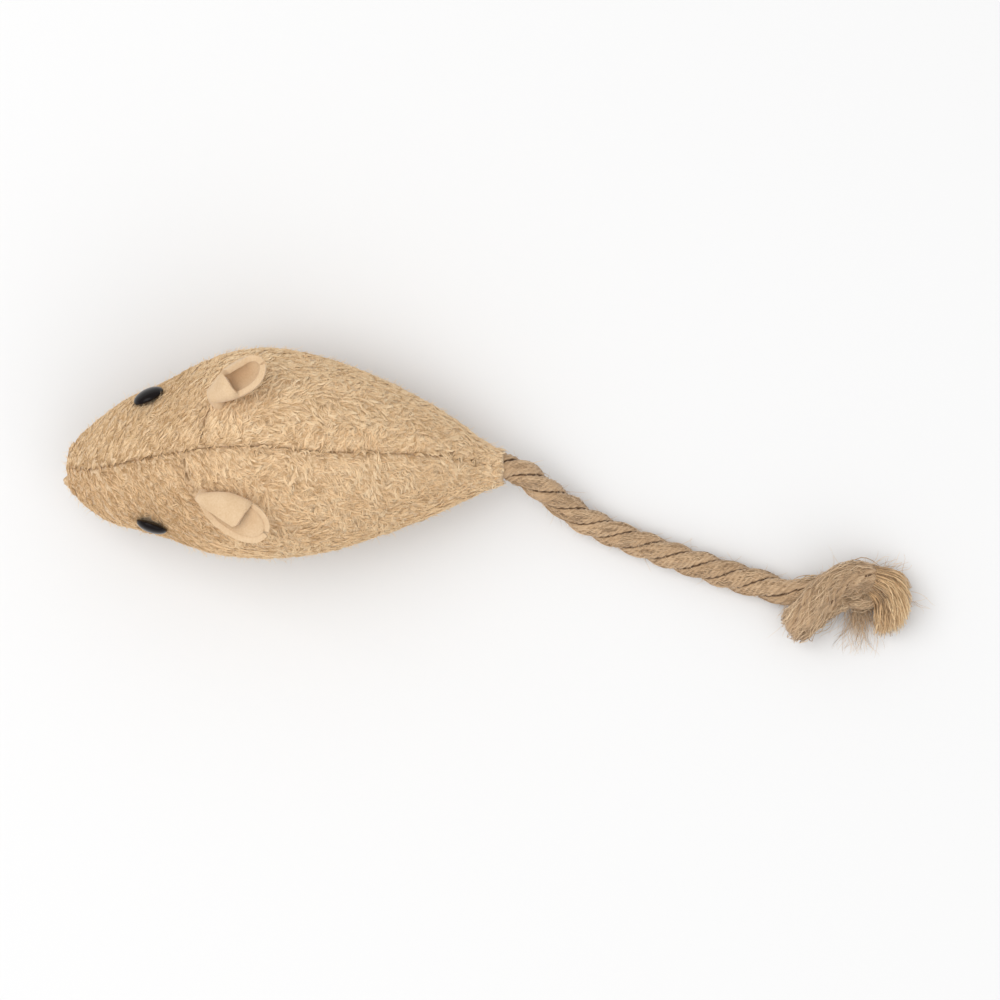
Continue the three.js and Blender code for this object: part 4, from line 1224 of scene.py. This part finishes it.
# the rows start and end a little way inside their seams
seam_run, dart_run = slice(12, 392), slice(3, 34)
stitches("back_stitches", back_line[seam_run], "back_seam_thread")
stitches("left_belly_stitches", left_belly_line[seam_run], "left_belly_seam_thread")
stitches("right_belly_stitches", right_belly_line[seam_run], "right_belly_seam_thread")
for ear, line in dart_lines.items():
    stitches(ear + "_dart_stitches", line[dart_run], ear + "_dart_thread")


# Tail tack: one stitch of the same thread through the rope's sewn end. A short bar lies across the seam
# and one under the belly, and the thread between them goes through the rope.
tack_low, tack_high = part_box("tail_stitch")
tack_along = np.array([(tack_low.y + tack_high.y) / 2 / body_length + 0.5])
t = np.linspace(0, 1, stitch_rows)[:, None]
tack_arch = 0.3
tack_lines = []
for name, other, start, end, up in [
    ("left_side", "right_side", 0.09, 0.09, 1), ("belly", "belly", 0.4, 0.6, -1)
]:
    start = skin_points(name, tack_along, np.array([start]))
    end = skin_points(other, tack_along, np.array([end]))
    arch = up * mm * tack_arch * (np.sin(math.pi * t) - 0.5)
    tack_lines.append(start * (1 - t) + end * t + arch * np.array([0, 0, 1]))
tack_lines.append(tack_lines[0][3] * (1 - t) + tack_lines[1][3] * t)
tack_lines = np.array(tack_lines)
tack_ups = np.array([[0, 0, 1.0], [0, 0, 1.0], [0, 1.0, 0]])[:, None]
tack_half = np.full((3, stitch_rows, 8), thread_radius)
tack_tones = np.full(3, thread_tone)
tack = solid_tubes("tail_tack", tack_lines, tack_ups, tack_half, tack_tones, thread, thread_grain)
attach(tack, "root")
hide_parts("tail_stitch")


# Eye washers: flat rings of white plastic, pressed onto the eyes' shanks inside the body so that they
# can't be pulled out. The frame's own pieces are shown.
washer_white, node, into = new_material("washer_white", Roughness=0.45)
haze = fine_noise(node, 500.0, 2.0)
into("Base Color", two_shades(node, haze, shade(222, 220, 212), shade(238, 237, 232)))
for node_name in ("left_eye_washer", "right_eye_washer"):
    finish_with(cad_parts[node_name], washer_white)


# Filling: two wads of white polyester fibre, pushed in before the last seam is closed, and between
# them a loose ball of dried catnip.
wad_shrink = 0.8 * mm


def stuffing(name, node_name, voxel, lumps, low, high):
    """A wad in the place of a piece of the frame, remeshed and made lumpy."""
    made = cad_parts[node_name].copy()
    made.data = made.data.copy()
    made.parent = None
    for key in list(made.keys()):
        del made[key]
    made.name = name
    take_up(made)
    made.data.materials.clear()
    on_whole_mesh(bpy.ops.mesh.remove_doubles, threshold=0.005 * mm)
    apply_modifier(made, "wad", "REMESH", mode="VOXEL", voxel_size=voxel)
    apply_modifier(made, "loose", "DISPLACE", strength=-wad_shrink, mid_level=0)
    grain = bpy.data.textures.new(name + "_lumps", "CLOUDS")
    grain.noise_scale = lumps
    apply_modifier(
        made, "lumps", "DISPLACE", texture=grain, texture_coords="LOCAL",
        strength=-0.5 * lumps, mid_level=0.3,
    )
    bpy.ops.object.shade_smooth()
    finish, node, into = new_material(name, Roughness=0.95)
    tufts = fine_noise(node, 1400.0, 4.0)
    into("Base Color", two_shades(node, tufts, low, high))
    dented(node, into, tufts, strength=0.7, depth=0.4 * mm)
    finish_with(made, finish)
    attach(made, "root")
    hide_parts(node_name)
    bpy.ops.object.select_all(action="DESELECT")


white_low, white_high = shade(226, 225, 220), shade(248, 247, 243)
stuffing("head_wad", "head_filling", 0.7 * mm, 1.2 * mm, white_low, white_high)
stuffing("rump_wad", "rump_filling", 0.7 * mm, 1.2 * mm, white_low, white_high)
stuffing("catnip", "catnip_ball", 0.5 * mm, 0.8 * mm, shade(74, 84, 44), shade(142, 150, 96))
